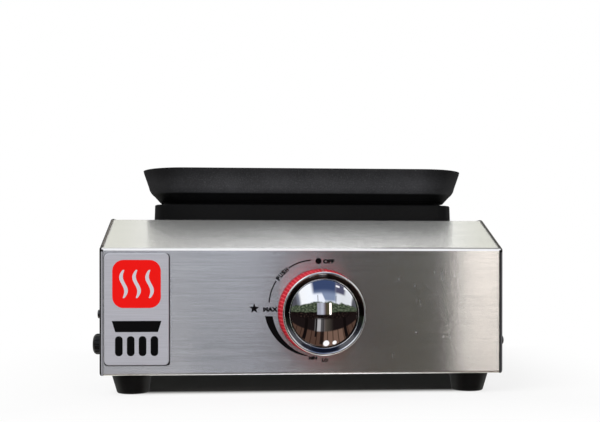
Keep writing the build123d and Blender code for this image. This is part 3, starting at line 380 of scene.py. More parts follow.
@dataclass(frozen=True)
class BrushedSteel(Finish):
    """Stainless sheet brushed one way, with hairlines, smudges and a few nicks.

    The heights and depths are those of the wrapper: its front face, the fold above it and
    the brow that slopes back from the fold.
    """

    grain: Grain = Grain.ACROSS
    tint: Colour = (0.78, 0.78, 0.765)
    metallic: float = 0.95
    roughness: float = 0.15
    tooth: float = 0.95
    coarse_tooth: float = 0.035
    bend: float = 2.2
    marks: tuple[Mark, ...] = ()
    fold: float = 126.5
    # painted highlight: a pale, less metallic strip just under the fold, standing in for the bend's
    # reflection
    painted_fold_highlight: Colour = (0.97, 0.97, 1.0)
    face: Point = (-134.4, -134.0)
    nicked: Point = (-130.0, -120.0)
    nick_tint: Colour = (0.95, 0.95, 0.95)
    brow_haze: float = 0.23
    # painted dark reflection: a dark line just above the fold, fading in towards the right
    dark_reflection_side: Point = (40.0, 90.0)
    painted_dark_reflection: Colour = (0.02, 0.02, 0.02)
    # painted reflection: the front is painted lighter at its foot and on its left
    foot_rise: Point = (14.0, 52.0)
    foot_side: Point = (20.0, 120.0)
    foot_reflection_gain: float = 0.34
    left_side: Point = (-50.0, 30.0)
    left_reflection_gain: float = 0.20

    def shade(self, graph: Graph) -> dict:
        """Hairlines tilt the surface and shade it; smudges and nicks dull it.

        Args:
            graph: The shader tree.

        Returns:
            Inputs of the principled shader, by name.
        """
        fine = graph.noise(graph.place(self.grain.stretch(0.5, 0.03)), 1.0, 0.0, 0.5)
        coarse = graph.noise(graph.place(self.grain.stretch(65, 0.85)), 1.0, 3.0, 0.65)
        cloud = graph.noise(graph.place(), 14.0, 2.0, 0.5)
        teeth = graph.line(graph.less(coarse, 0.5), self.coarse_tooth, graph.less(fine, 0.5))
        dark = tuple(c * 0.94 for c in self.tint)
        light = tuple(min(c * 1.05, 0.95) for c in self.tint)
        colour = graph.mix(graph.step(coarse, 0.32, 0.68), dark, light)
        smudge = graph.step(cloud, 0.5, 0.78)
        rough = graph.line(smudge, 0.03, self.roughness)
        rough = graph.line(graph.less(coarse, 0.5), 0.03, rough)
        metal = self.metallic
        if self.marks:
            colour, rough, metal = self.front(graph, colour, rough)
        return {
            "Base Color": colour,
            "Metallic": metal,
            "Roughness": rough,
            "Anisotropic": 1.0,
            "Anisotropic Rotation": 0.25,
            "Tangent": graph.node("CombineXYZ", dict(enumerate(self.grain.value))).outputs[0],
            "Normal": graph.lean(teeth, self.grain.value, self.tooth, graph.bend(self.bend)),
        }

    def front(self, graph: Graph, colour: Socket, rough: Socket) -> tuple[Socket, Socket, Socket]:
        """Haze above the fold, painted reflection that lightens the sheet below it, a painted
        highlight on the fold, a painted dark reflection above the fold on the right, and the nicks.

        Args:
            graph: The shader tree.
            colour: Colour of the plain steel.
            rough: Its roughness.

        Returns:
            Colour, roughness and metallic share of the wrapper.
        """
        x, y, z = graph.axes(graph.place())
        top = self.fold * MM
        above = graph.step(z, top - 0.3 * MM, top + 0.3 * MM)
        metal = graph.line(above, -self.brow_haze, self.metallic)
        # painted reflection lightens the sheet
        colour = graph.dim(colour, self.painted_reflection_gain(graph, x, z, above))
        face = graph.ease(y, self.face, 1.0, 0.0)
        # painted highlight along the fold
        bright = graph.times(graph.window(z, top - 2.0 * MM, top - 0.1 * MM, 0.5 * MM), face)
        colour = graph.mix(bright, colour, self.painted_fold_highlight)
        metal = graph.times(metal, graph.less(1.0, graph.times(bright, 0.97)))
        # painted dark reflection above the fold on the right
        far_right = graph.ease(x, self.dark_reflection_side, 0.0, 0.6)
        dark_reflection = graph.times(graph.window(z, top, top + 1.0 * MM, 0.4 * MM), far_right)
        colour = graph.mix(dark_reflection, colour, self.painted_dark_reflection)
        scratch = 0.0
        for mark in self.marks:
            scratch = graph.most(mark.mask(graph, x, z), scratch)
        scratch = graph.times(scratch, graph.ease(y, self.nicked, 1.0, 0.0))
        rough = graph.line(scratch, 0.28, rough)
        return graph.mix(scratch, colour, self.nick_tint), rough, metal

    def painted_reflection_gain(self, graph: Graph, x: Socket, z: Socket, above: Socket) -> Socket:
        """Painted reflection: the sheet's colour is made brighter at the foot and on the left of
        the front, and a little above the fold.

        Args:
            graph: The shader tree.
            x: Place from side to side.
            z: Height.
            above: One above the fold and nought below it.

        Returns:
            Factor for the sheet's colour.
        """
        foot = graph.ease(z, self.foot_rise, self.foot_reflection_gain, 0.0)
        foot = graph.times(foot, graph.ease(x, self.foot_side, 1.0, 0.0))
        left = graph.ease(x, self.left_side, self.left_reflection_gain, 0.0)
        gain = graph.times(graph.most(foot, left), graph.less(1.0, above))
        return graph.plus(0.96, graph.most(gain, graph.times(above, 0.04)))


@dataclass(frozen=True)
class LippedSteel(BrushedSteel):
    """Side panel whose turned lips are dull and carry painted light and shade: dark lines along
    their edges, dark notches at the fold, and below the fold a lighter left lip and a darker right
    lip.

    Each pair of lip tones is the one below the fold and the one on the slope above it.
    """

    middle: float = 7.1
    half: float = 175.0
    lip: float = 3.2
    # below the fold the left lip is painted lighter, as lit, and the right lip darker, as shaded
    left: tuple[Colour, Colour] = ((0.34, 0.34, 0.37), (0.15, 0.132, 0.115))
    right: tuple[Colour, Colour] = ((0.12, 0.12, 0.125), (0.15, 0.132, 0.118))
    # painted shade: dark notch where the sheet bends at the fold
    shaded_notch: Point = (123.6, 128.4)

    def shade(self, graph: Graph) -> dict:
        """Brushed outside; the lips take their own painted light and shade.

        Args:
            graph: The shader tree.

        Returns:
            Inputs of the principled shader, by name.
        """
        inputs = super().shade(graph)
        x, _, z = graph.axes(graph.place())
        aside = graph.axes(graph.node("NewGeometry").outputs["True Normal"])[0]
        on_lip = graph.step(graph.off(aside), 0.93, 0.98, 1.0, 0.0)
        sloped = graph.ease(z, (self.fold - 0.5, self.fold + 0.5))
        out = graph.off(x, self.middle * MM)
        inner = self.half - self.lip
        # painted shade: dark lines along the lips' edges
        outer_shade_line = graph.ease(out, (self.half - 1.9, self.half - 1.4))
        inner_shade_line = graph.ease(out, (inner + 0.9, inner + 1.3), 1.0, 0.0)
        low, high = (limit * MM for limit in self.shaded_notch)
        shaded_notch = graph.window(z, low, high, 0.6 * MM)
        lips = []
        for line, tones in ((outer_shade_line, self.left), (inner_shade_line, self.right)):
            lip = graph.mix(line, graph.mix(sloped, *tones), PAINTED_SHADE_BLACK)
            lips.append(graph.mix(shaded_notch, lip, PAINTED_SHADE_BLACK))
        lip = graph.mix(graph.math("GREATER_THAN", x, 0.0), *lips)
        inputs["Base Color"] = graph.mix(on_lip, inputs["Base Color"], lip)
        inputs["Metallic"] = graph.line(on_lip, -self.metallic, self.metallic)
        inputs["Specular IOR Level"] = 0.05
        return inputs


@dataclass(frozen=True)
class SheetZinc(Finish):
    """Plated sheet with a faint spangle."""

    tint: Colour = (0.56, 0.58, 0.59)
    roughness: float = 0.42

    def shade(self, graph: Graph) -> dict:
        """Spangles differ a little in colour and gloss.

        Args:
            graph: The shader tree.

        Returns:
            Inputs of the principled shader, by name.
        """
        spangle = graph.cells(graph.place(), 160.0).outputs["Color"]
        grey = graph.node("RGBToBW", {0: spangle}).outputs[0]
        grime = graph.noise(graph.place(), 35.0, 5.0, 0.65)
        dark = tuple(c * 0.78 for c in self.tint)
        colour = graph.mix(graph.step(grey, 0.1, 0.9), dark, self.tint)
        colour = graph.mix(graph.step(grime, 0.55, 0.8, 0.0, 0.35), colour, (0.25, 0.24, 0.23))
        rough = graph.line(grey, 0.16, self.roughness - 0.08)
        return {
            "Base Color": colour,
            "Metallic": 1.0,
            "Roughness": rough,
            "Normal": graph.bump(grime, 0.02),
        }


@dataclass(frozen=True)
class TurnedMetal(Finish):
    """Machined or drawn metal, such as a screw, a jet or a tube."""

    tint: Colour = (0.62, 0.62, 0.62)
    roughness: float = 0.3
    wear: Colour = (0.30, 0.29, 0.28)
    stained: float = 0.4

    def shade(self, graph: Graph) -> dict:
        """Fine tool lines under a thin uneven stain.

        Args:
            graph: The shader tree.

        Returns:
            Inputs of the principled shader, by name.
        """
        tool = graph.noise(graph.place((1500, 1500, 2600)), 1.0, 2.0)
        stain = graph.noise(graph.place(), 140.0, 4.0, 0.6)
        share = graph.step(stain, 0.48, 0.75, 0.0, self.stained)
        return {
            "Base Color": graph.mix(share, self.tint, self.wear),
            "Metallic": 1.0,
            "Roughness": graph.line(stain, 0.2, self.roughness - 0.06),
            "Normal": graph.bump(tool, 0.006),
        }


@dataclass(frozen=True)
class CastMetal(Finish):
    """Sand or die casting with a pebbled skin."""

    tint: Colour = (0.16, 0.15, 0.145)
    deep: Colour = (0.05, 0.047, 0.045)
    metallic: float = 0.8
    roughness: float = 0.62
    pebble: float = 0.9
    depth: float = 0.10

    def shade(self, graph: Graph) -> dict:
        """Pebbles, pores and a darker cast in the hollows.

        Args:
            graph: The shader tree.

        Returns:
            Inputs of the principled shader, by name.
        """
        pebbles = graph.noise(graph.place(), 1 / (self.pebble * MM), 3.0, 0.55)
        cloud = graph.noise(graph.place(), 40.0, 4.0, 0.6)
        share = graph.times(graph.step(pebbles, 0.3, 0.7), graph.step(cloud, 0.2, 0.7))
        return {
            "Base Color": graph.mix(share, self.deep, self.tint),
            "Metallic": self.metallic,
            "Roughness": graph.line(cloud, 0.2, self.roughness - 0.1),
            "Normal": graph.bump(pebbles, self.depth),
        }


@dataclass(frozen=True)
class DarkCoat(Finish):
    """Black or charcoal coat, paint or rubber with a fine grain."""

    tint: Colour = (0.02, 0.02, 0.021)
    light: Colour = (0.035, 0.035, 0.037)
    roughness: float = 0.45
    spread: float = 0.1
    grain: float = 0.7
    depth: float = 0.03
    specular: float = 0.5
    # painted shade of the pan's undercut, below these heights, on surfaces that don't face up
    painted_undercut_shade: Point | None = None
    painted_undercut_tint: Colour = (0.0005, 0.0005, 0.0005)
    # share of the colour left at both ends, as painted shade
    ends: float = 1.0
    left_shaded_end: Point = (-132.0, -70.0)
    right_shaded_end: Point = (112.0, 150.0)

    def shade(self, graph: Graph) -> dict:
        """Two sizes of grain, gloss that wanders slowly, painted shade at the ends, and below a
        height painted shade of the undercut, with the wall made lighter just above it.

        Args:
            graph: The shader tree.

        Returns:
            Inputs of the principled shader, by name.
        """
        fine = graph.noise(graph.place(), 1 / (self.grain * MM), 2.0, 0.5)
        broad = graph.noise(graph.place(), 30.0, 4.0, 0.6)
        speck = graph.step(fine, 0.45, 0.75)
        colour = graph.mix(graph.times(speck, 0.7), self.tint, self.light)
        colour = graph.mix(graph.step(broad, 0.35, 0.8, 0.0, 0.4), colour, self.light)
        x, _, height = graph.axes(graph.place())
        # painted shade: darker towards both ends
        if self.ends < 1.0:
            left = graph.ease(x, self.left_shaded_end, self.ends, 1.0)
            right = graph.ease(x, self.right_shaded_end, 1.0, self.ends * 1.5)
            colour = graph.dim(colour, graph.times(left, right))
        # painted shade of the undercut: black below a height on surfaces that don't face up, and
        # the wall made lighter just above it
        if self.painted_undercut_shade:
            above = (self.painted_undercut_shade[1] + 7, self.painted_undercut_shade[1] + 20)
            colour = graph.dim(colour, graph.ease(height, above, 1.55, 0.85))
            facing = graph.axes(graph.node("NewGeometry").outputs["True Normal"])[2]
            outside = graph.step(facing, 0.05, 0.25, 0.94, 0.0)
            painted_undercut_shade = graph.times(graph.ease(height, self.painted_undercut_shade, 1.0, 0.0), outside)
            colour = graph.mix(painted_undercut_shade, colour, self.painted_undercut_tint)
        return {
            "Base Color": colour,
            "Roughness": graph.line(broad, self.spread, self.roughness - self.spread / 2),
            "Specular IOR Level": self.specular,
            "Normal": graph.bump(fine, self.depth),
        }


@dataclass(frozen=True)
class Moulding(Finish):
    """Moulded plastic with a soft gloss."""

    tint: Colour = (0.7, 0.7, 0.7)
    roughness: float = 0.38
    grain: float = 0.25

    def shade(self, graph: Graph) -> dict:
        """A fine mould texture, slightly uneven colour and handled patches.

        Args:
            graph: The shader tree.

        Returns:
            Inputs of the principled shader, by name.
        """
        fine = graph.noise(graph.place(), 1 / (self.grain * MM), 2.0, 0.5)
        broad = graph.noise(graph.place(), 60.0, 3.0, 0.6)
        dull = tuple(c * 0.86 for c in self.tint)
        rough = graph.line(broad, 0.14, self.roughness - 0.07)
        return {
            "Base Color": graph.mix(graph.step(broad, 0.3, 0.75), self.tint, dull),
            "Roughness": rough,
            "Normal": graph.bump(fine, 0.008),
        }


@dataclass(frozen=True)
class GripRed(Finish):
    """Clear red plastic with painted highlights where its grooves catch the light."""

    tint: Colour = (0.52, 0.0015, 0.016)
    # colour of the painted highlights in the grooves
    groove: Colour = (0.95, 0.14, 0.17)
    ribs: int = KNOB_RIBS
    row: float = KNOB_GROOVE

    def shade(self, graph: Graph) -> dict:
        """Painted highlights: lighter lines between the ribs and round the middle of the grip.

        Args:
            graph: The shader tree.

        Returns:
            Inputs of the principled shader, by name.
        """
        x, y, z = graph.axes(graph.place((1 / MM, 1 / MM, 1 / MM)))
        wave = graph.math("COSINE", graph.times(graph.math("ARCTAN2", z, x), self.ribs))
        ring = graph.step(graph.off(y, self.row), 0.7, 1.8, 1.0, 0.0)
        # painted highlights along the grooves
        lines = graph.most(graph.step(wave, 0.52, 0.95), ring)
        cloud = graph.noise(graph.place(), 180.0, 3.0, 0.6)
        share = graph.times(lines, graph.step(cloud, 0.3, 0.6, 0.5, 1.0))
        return {
            "Base Color": graph.mix(share, self.tint, self.groove),
            "Roughness": graph.line(cloud, 0.12, 0.40),
            "Specular IOR Level": 0.04,
            "Normal": graph.bump(graph.noise(graph.place(), 2500.0, 2.0), 0.006),
        }


@dataclass(frozen=True)
class Chrome(Finish):
    """Bright plating with a few hair scratches."""

    tint: Colour = (0.90, 0.90, 0.915)
    roughness: float = 0.025

    def shade(self, graph: Graph) -> dict:
        """Hardly any roughness, a breath of haze and wiping marks.

        Args:
            graph: The shader tree.

        Returns:
            Inputs of the principled shader, by name.
        """
        wipe = graph.noise(graph.place((30, 500, 900), (0, 0.6, 0.3)), 1.0, 3.0, 0.6)
        haze = graph.noise(graph.place(), 90.0, 3.0, 0.5)
        rough = graph.line(graph.step(haze, 0.55, 0.85), 0.03, self.roughness)
        dull = tuple(c * 0.94 for c in self.tint)
        return {
            "Base Color": graph.mix(graph.step(wipe, 0.55, 0.8), self.tint, dull),
            "Metallic": 1.0,
            "Roughness": rough,
            "Normal": graph.bump(wipe, 0.0015),
        }


@dataclass(frozen=True)
class SatinPlate(Finish):
    """Anodised plate of the badge, faintly lined from side to side."""

    tint: Colour = (0.66, 0.66, 0.72)
    roughness: float = 0.42

    def shade(self, graph: Graph) -> dict:
        """Faint lines and cloudy anodising.

        Args:
            graph: The shader tree.

        Returns:
            Inputs of the principled shader, by name.
        """
        lines = graph.noise(graph.place(Grain.ACROSS.stretch(40, 0.6)), 1.0, 2.0, 0.6)
        cloud = graph.noise(graph.place(), 60.0, 3.0)
        dull = tuple(c * 0.9 for c in self.tint)
        return {
            "Base Color": graph.mix(graph.step(lines, 0.3, 0.7), dull, self.tint),
            "Metallic": 0.35,
            "Roughness": graph.line(cloud, 0.12, self.roughness - 0.06),
            "Normal": graph.bump(lines, 0.006, graph.bend(0.9)),
        }


@dataclass(frozen=True)
class Ink(Finish):
    """Screen-printed ink, a little uneven."""

    tint: Colour = (0.0035, 0.0035, 0.004)
    roughness: float = 0.5

    def shade(self, graph: Graph) -> dict:
        """Thin places show a lighter tone.

        Args:
            graph: The shader tree.

        Returns:
            Inputs of the principled shader, by name.
        """
        weave = graph.noise(graph.place(), 1400.0, 3.0, 0.6)
        thin = tuple(min(c * 1.2 + 0.003, 1.0) for c in self.tint)
        return {
            "Base Color": graph.mix(graph.step(weave, 0.5, 0.8, 0.0, 0.6), self.tint, thin),
            "Roughness": graph.line(weave, 0.15, self.roughness - 0.07),
            "Specular IOR Level": 0.06,
            "Normal": graph.bump(weave, 0.004),
        }


@dataclass(frozen=True)
class Foam(Finish):
    """Cellular tape or fired ceramic: cells or glaze pits over a plain tone."""

    tint: Colour = (0.012, 0.012, 0.012)
    pore: float = 0.35
    roughness: float = 0.85
    depth: float = 0.08

    def shade(self, graph: Graph) -> dict:
        """Pores darken and dent the surface.

        Args:
            graph: The shader tree.

        Returns:
            Inputs of the principled shader, by name.
        """
        pores = graph.cells(graph.place(), 1 / (self.pore * MM)).outputs["Distance"]
        open_cells = graph.step(pores, 0.1, 0.6)
        deep = tuple(c * 0.7 for c in self.tint)
        return {
            "Base Color": graph.mix(open_cells, deep, self.tint),
            "Roughness": graph.line(open_cells, 0.1, self.roughness - 0.1),
            "Normal": graph.bump(pores, self.depth),
        }


PANEL_MARKS = (
    Mark(128.3, 102.5, 9.0, 0.6, 2, 0.9),
    Mark(121.5, 106.0, 4.0, 0.5, -6, 0.5),
    Mark(143.0, 104.0, 7.0, 0.45, 4, 0.5),
    Mark(139.0, 103.0, 3.5, 0.5, 0, 0.5),
    Mark(146.5, 106.0, 5.0, 0.45, -3, 0.4),
    Mark(90.0, 100.0, 2.2, 0.9, 0, 0.9),
    Mark(104.0, 94.0, 1.8, 0.9, 0, 0.8),
    Mark(108.6, 79.5, 8.0, 0.7, -10, 0.5),
    Mark(105.6, 81.0, 5.0, 0.5, 12, 0.4),
    Mark(134.5, 50.5, 5.0, 0.6, -8, 0.8),
    Mark(129.0, 49.5, 3.0, 0.6, 10, 0.6),
    Mark(84.5, 33.5, 5.0, 0.6, 5, 0.6),
    Mark(105.0, 53.5, 1.4, 0.9, 0, 0.7),
    Mark(151.6, 31.0, 1.8, 0.8, 0, 0.9),
    Mark(162.0, 80.0, 16.0, 0.5, -28, 0.4),
    Mark(164.6, 74.0, 9.0, 0.5, 4, 0.35),
    Mark(64.0, 126.2, 2.2, 0.9, 0, 1.0),
    Mark(98.0, 126.0, 2.4, 0.9, 0, 1.0),
)

FINISHES: dict[str, Finish] = {
    "brushed_steel": BrushedSteel("brushed_front_steel", marks=PANEL_MARKS),
    "side_steel": LippedSteel(
        "brushed_side_steel", grain=Grain.FRONT_TO_BACK, tint=(0.56, 0.54, 0.52), roughness=0.22
    ),
    "galvanised_steel": SheetZinc("zinc_sheet"),
    "screw_steel": TurnedMetal("screw_steel_turned", tint=(0.60, 0.60, 0.61)),
    "foot_rubber": DarkCoat(
        "foot_rubber_matt", tint=(0.005, 0.005, 0.005), light=(0.009, 0.009, 0.009),
        roughness=0.5, grain=0.9, depth=0.04, specular=0.22,
    ),
    "badge_metal": SatinPlate("badge_satin_plate"),
    "black_foam": Foam("black_foam_tape"),
    "frame_enamel": DarkCoat(
        "frame_black_enamel", tint=(0.0085, 0.0085, 0.0087), light=(0.0125, 0.0125, 0.013),
        roughness=0.36, grain=1.2, depth=0.012, specular=0.08, ends=0.6,
    ),
    "pan_coating": DarkCoat(
        "pan_charcoal_coat", tint=(0.028, 0.028, 0.030), light=(0.056, 0.056, 0.060),
        roughness=0.5, grain=0.95, depth=0.05, specular=0.06, painted_undercut_shade=(179.8, 181.6),
        ends=0.3,
    ),
    "burner_iron": CastMetal("burner_cast_iron"),
    "tube_aluminium": TurnedMetal("tube_drawn_aluminium", tint=(0.72, 0.72, 0.73), roughness=0.34),
    "valve_aluminium": CastMetal(
        "valve_die_cast", tint=(0.62, 0.62, 0.63), deep=(0.42, 0.42, 0.43), metallic=1.0,
        roughness=0.45, pebble=0.5, depth=0.03,
    ),
    "valve_brass": TurnedMetal(
        "valve_brass_turned", tint=(0.80, 0.60, 0.27), wear=(0.42, 0.28, 0.12), roughness=0.26
    ),
    "spring_steel": TurnedMetal("spring_wire", tint=(0.50, 0.50, 0.52), wear=(0.2, 0.19, 0.19)),
    "inlet_black": DarkCoat(
        "inlet_black_oxide", tint=(0.004, 0.004, 0.0045), light=(0.009, 0.009, 0.010),
        roughness=0.42, grain=0.6, depth=0.02,
    ),
    "igniter_plastic": Moulding("igniter_black_plastic", tint=(0.02, 0.02, 0.022)),
    "lead_rubber": Moulding("lead_silicone", tint=(0.42, 0.03, 0.02), roughness=0.5),
    "white_ceramic": Foam(
        "white_ceramic_glazed", tint=(0.80, 0.79, 0.76), pore=0.6, roughness=0.35, depth=0.01
    ),
    "red_plastic": GripRed("grip_red_plastic"),
    "white_plastic": Moulding("pointer_white_plastic", tint=(0.40, 0.06, 0.06)),
    "knob_chrome": Chrome("knob_bright_chrome"),
    "black_plastic": Moulding("hub_black_plastic", tint=(0.014, 0.014, 0.015)),
}


class Rack:
    """Makes each material once and hands it out by name."""

    def __init__(self) -> None:
        """Starts empty."""
        self._made: dict[str, Material] = {}

    def take(self, finish: Finish) -> Material:
        """Returns the material of a finish.

        Args:
            finish: The finish.

        Returns:
            Its material, made at the first call.
        """
        if finish.name not in self._made:
            self._made[finish.name] = finish.material()
        return self._made[finish.name]


# ------------------------------------------------------------------ meshes
def piece_from(
    mesh: Mesh, name: str, finish: Material, body: str,
    centre: Point3 = (0, 0, 0), smooth: bool = False,
) -> Piece:
    """Turns a mesh in millimetres into a piece that rides on a body.

    Args:
        mesh: The mesh, which is freed.
        name: Name of the piece.
        finish: Its material.
        body: Body that carries it.
        centre: Place of the piece's own origin, in millimetres.
        smooth: Whether its faces are shaded smoothly.

    Returns:
        The piece.
    """
    bmesh.ops.remove_doubles(mesh, verts=mesh.verts, dist=1e-6)
    bmesh.ops.recalc_face_normals(mesh, faces=mesh.faces)
    bmesh.ops.scale(mesh, vec=(MM, MM, MM), verts=mesh.verts)
    data = bpy.data.meshes.new(name)
    for face in mesh.faces:
        face.smooth = smooth
    mesh.to_mesh(data)
    mesh.free()
    data.materials.append(finish)
    made = bpy.data.objects.new(name, data)
    made.location = Vector(centre) * MM
    bpy.context.scene.collection.objects.link(made)
    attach(made, body)
    return made


def box_of(node: str) -> tuple[Vector, Vector]:
    """Lowest and highest corner of a solid, in millimetres."""
    low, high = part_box(node)
    return low / MM, high / MM


def axis_of(node: str) -> Point3:
    """Where an axis from front to back through a solid's middle meets y = 0, in millimetres."""
    low, high = box_of(node)
    return (low.x + high.x) / 2, 0.0, (low.z + high.z) / 2


def arc_points(centre: Point, radius: float, start: float, end: float, count: int) -> list[Point]:
    """Points on an arc between two angles in degrees."""
    turns = (math.radians(start + (end - start) * i / (count - 1)) for i in range(count))
    return [(centre[0] + radius * math.cos(t), centre[1] + radius * math.sin(t)) for t in turns]


def rounded_box(centre: Point, size: Point, corner: float, count: int = 9) -> list[Point]:
    """Outline of a rectangle with round corners.

    Args:
        centre: Its middle.
        size: Its width and height.
        corner: Radius of its corners.
        count: Number of points on each corner.

    Returns:
        Its points in turn.
    """
    half = (size[0] / 2 - corner, size[1] / 2 - corner)
    outline: list[Point] = []
    for right, up, start in ((1, 1, 0), (-1, 1, 90), (-1, -1, 180), (1, -1, 270)):
        middle = (centre[0] + right * half[0], centre[1] + up * half[1])
        outline += arc_points(middle, corner, start, start + 90, count)
    return outline


class Stencil:
    """Flat shapes on an upright face, gathered into one thin mesh."""

    def __init__(self, front: float, thick: float) -> None:
        """Keeps the face's depth and the ink's thickness.

        Args:
            front: y of the face that carries the shapes.
            thick: How far they stand off it.
        """
        self.mesh = bmesh.new()
        self.front = front
        self.thick = thick

    def row(self, points: Sequence[Point], off: float = 0.0) -> list[bmesh.types.BMVert]:
        """Corners at some points of the face, or off it by a distance."""
        return [self.mesh.verts.new((x, self.front - off, z)) for x, z in points]

    def outline(self, points: Sequence[Point]) -> None:
        """Adds a filled outline.

        Args:
            points: Its corners in turn, as x and z.
        """
        back = self.row(points)
        near = self.row(points, self.thick)
        self.mesh.faces.new(back)
        self.mesh.faces.new(near[::-1])
        for i, vert in enumerate(back):
            after = (i + 1) % len(back)
            self.mesh.faces.new((vert, near[i], near[after], back[after]))

    def band(self, outer: Sequence[Point], inner: Sequence[Point]) -> None:
        """Adds a strip between two lines with the same number of points.

        Args:
            outer: Points of one side, as x and z.
            inner: Those of the other side.
        """
        for i in range(len(outer) - 1):
            corners = (outer[i], outer[i + 1], inner[i + 1], inner[i])
            near = self.row(corners, self.thick)
            back = self.row(corners)
            self.mesh.faces.new(near)
            self.mesh.faces.new(back[::-1])
            for a, b in ((0, 1), (2, 3)):
                self.mesh.faces.new((near[a], back[a], back[b], near[b]))
        for i in (0, -1):
            ends = (outer[i], inner[i])
            near = self.row(ends, self.thick)
            back = self.row(ends)
            self.mesh.faces.new((near[0], near[1], back[1], back[0]))

    def letters(self, text: str, centre: Point, size: Point, turn: float = 0.0) -> None:
        """Fits text into a box, stands it upright and adds it.

        Args:
            text: One letter or a word in capitals.
            centre: x and z of its middle.
            size: Its width and height.
            turn: Degrees that it is turned by about its middle.
        """
        curve = bpy.data.curves.new("letters", "FONT")
        curve.body = text
        curve.extrude = 0.5
        curve.offset = LETTER_WEIGHT
        curve.resolution_u = 4
        holder = bpy.data.objects.new("letters", curve)
        bpy.context.scene.collection.objects.link(holder)
        bpy.context.view_layer.update()
        graph = bpy.context.evaluated_depsgraph_get()
        data = bpy.data.meshes.new_from_object(holder.evaluated_get(graph))
        low = [min(v.co[i] for v in data.vertices) for i in range(3)]
        high = [max(v.co[i] for v in data.vertices) for i in range(3)]
        middle = Matrix.Translation([-(a + b) / 2 for a, b in zip(low, high)])
        scale = Matrix.Diagonal(
            (size[0] / (high[0] - low[0]), size[1] / (high[1] - low[1]), self.thick, 1.0)
        )
        upright = Matrix.Rotation(math.radians(90), 4, "X")
        turned = Matrix.Rotation(-math.radians(turn), 4, "Y")
        place = Matrix.Translation((centre[0], self.front - self.thick / 2, centre[1]))
        data.transform(place @ turned @ upright @ scale @ middle)
        self.mesh.from_mesh(data)
        bpy.data.objects.remove(holder)
        bpy.data.curves.remove(curve)
        bpy.data.meshes.remove(data)


def straight(start: Point, end: Point, count: int) -> list[Point]:
    """Points in even steps from a start, which is left out, to an end."""
    across, up = end[0] - start[0], end[1] - start[1]
    return [(start[0] + across * i / count, start[1] + up * i / count) for i in range(1, count + 1)]


def lathe(
    profile: Sequence[Point], segments: int,
    reach: Callable[[float, float, float], float] | None = None,
) -> Mesh:
    """Turns a profile about the Y axis.

    Args:
        profile: Radius and y of each ring, in order.
        segments: Number of steps round the axis.
        reach: Gives a ring point's radius from its radius, y and angle.

    Returns:
        The mesh, in millimetres about its own axis.
    """
    mesh = bmesh.new()
    rings = []
    for radius, y in profile:
        ring = []
        for step in range(segments):
            turn = 2 * math.pi * step / segments
            r = radius if reach is None else reach(radius, y, turn)
            ring.append(mesh.verts.new((r * math.cos(turn), y, r * math.sin(turn))))
        rings.append(ring)
    for near, far in zip(rings, rings[1:]):
        for step in range(segments):
            after = (step + 1) % segments
            mesh.faces.new((near[step], near[after], far[after], far[step]))
    return mesh


# ------------------------------------------------------------------ the burner
@dataclass
class SubAssembly:
    """A group of solids that are dressed together, with any pieces added to them."""

    rack: Rack
    title: str = ""
    solids: tuple[str, ...] = ()

    def dress(self) -> None:
        """Gives each solid the finish of its material slot."""
        slots = {row["node"]: row["material_slot"] for row in frame["record"]["subparts"]}
        for name in self.solids:
            finish = self.rack.take(FINISHES[slots[name]])
            node = frame["nodes"][name]
            if not node.material_slots:
                node.data.materials.append(finish)
            for place in node.material_slots:
                place.material = finish

    def add(self) -> list[Piece]:
        """Builds the pieces that the solids leave out."""
        return []

    def build(self) -> None:
        """Dresses the solids, adds the pieces and reports both."""
        self.dress()
        pieces = self.add()
        names = ", ".join(piece.name for piece in pieces) or "no added pieces"
        log.info("%s: %d solids dressed, %s", self.title, len(self.solids), names)


@dataclass
class SteelBox(SubAssembly):
    """Folded wrapper, side panels, base plate and feet."""

    title: str = "steel box"
    solids: tuple[str, ...] = (
        "body_shell", "side_panel_left", "side_panel_right", "side_screws", "base_plate",
        "base_screws", "foot_front_left", "foot_front_right", "foot_back_left",
        "foot_back_right", "foot_screws", "foot_nuts",
    )

    def dress(self) -> None:
        """Dresses the box and gives the screws in its sides a darker steel."""
        super().dress()
        dull = self.rack.take(TurnedMetal("side_screw_dark", tint=(0.14, 0.14, 0.145)))
        for place in frame["nodes"]["side_screws"].material_slots:
            place.material = dull


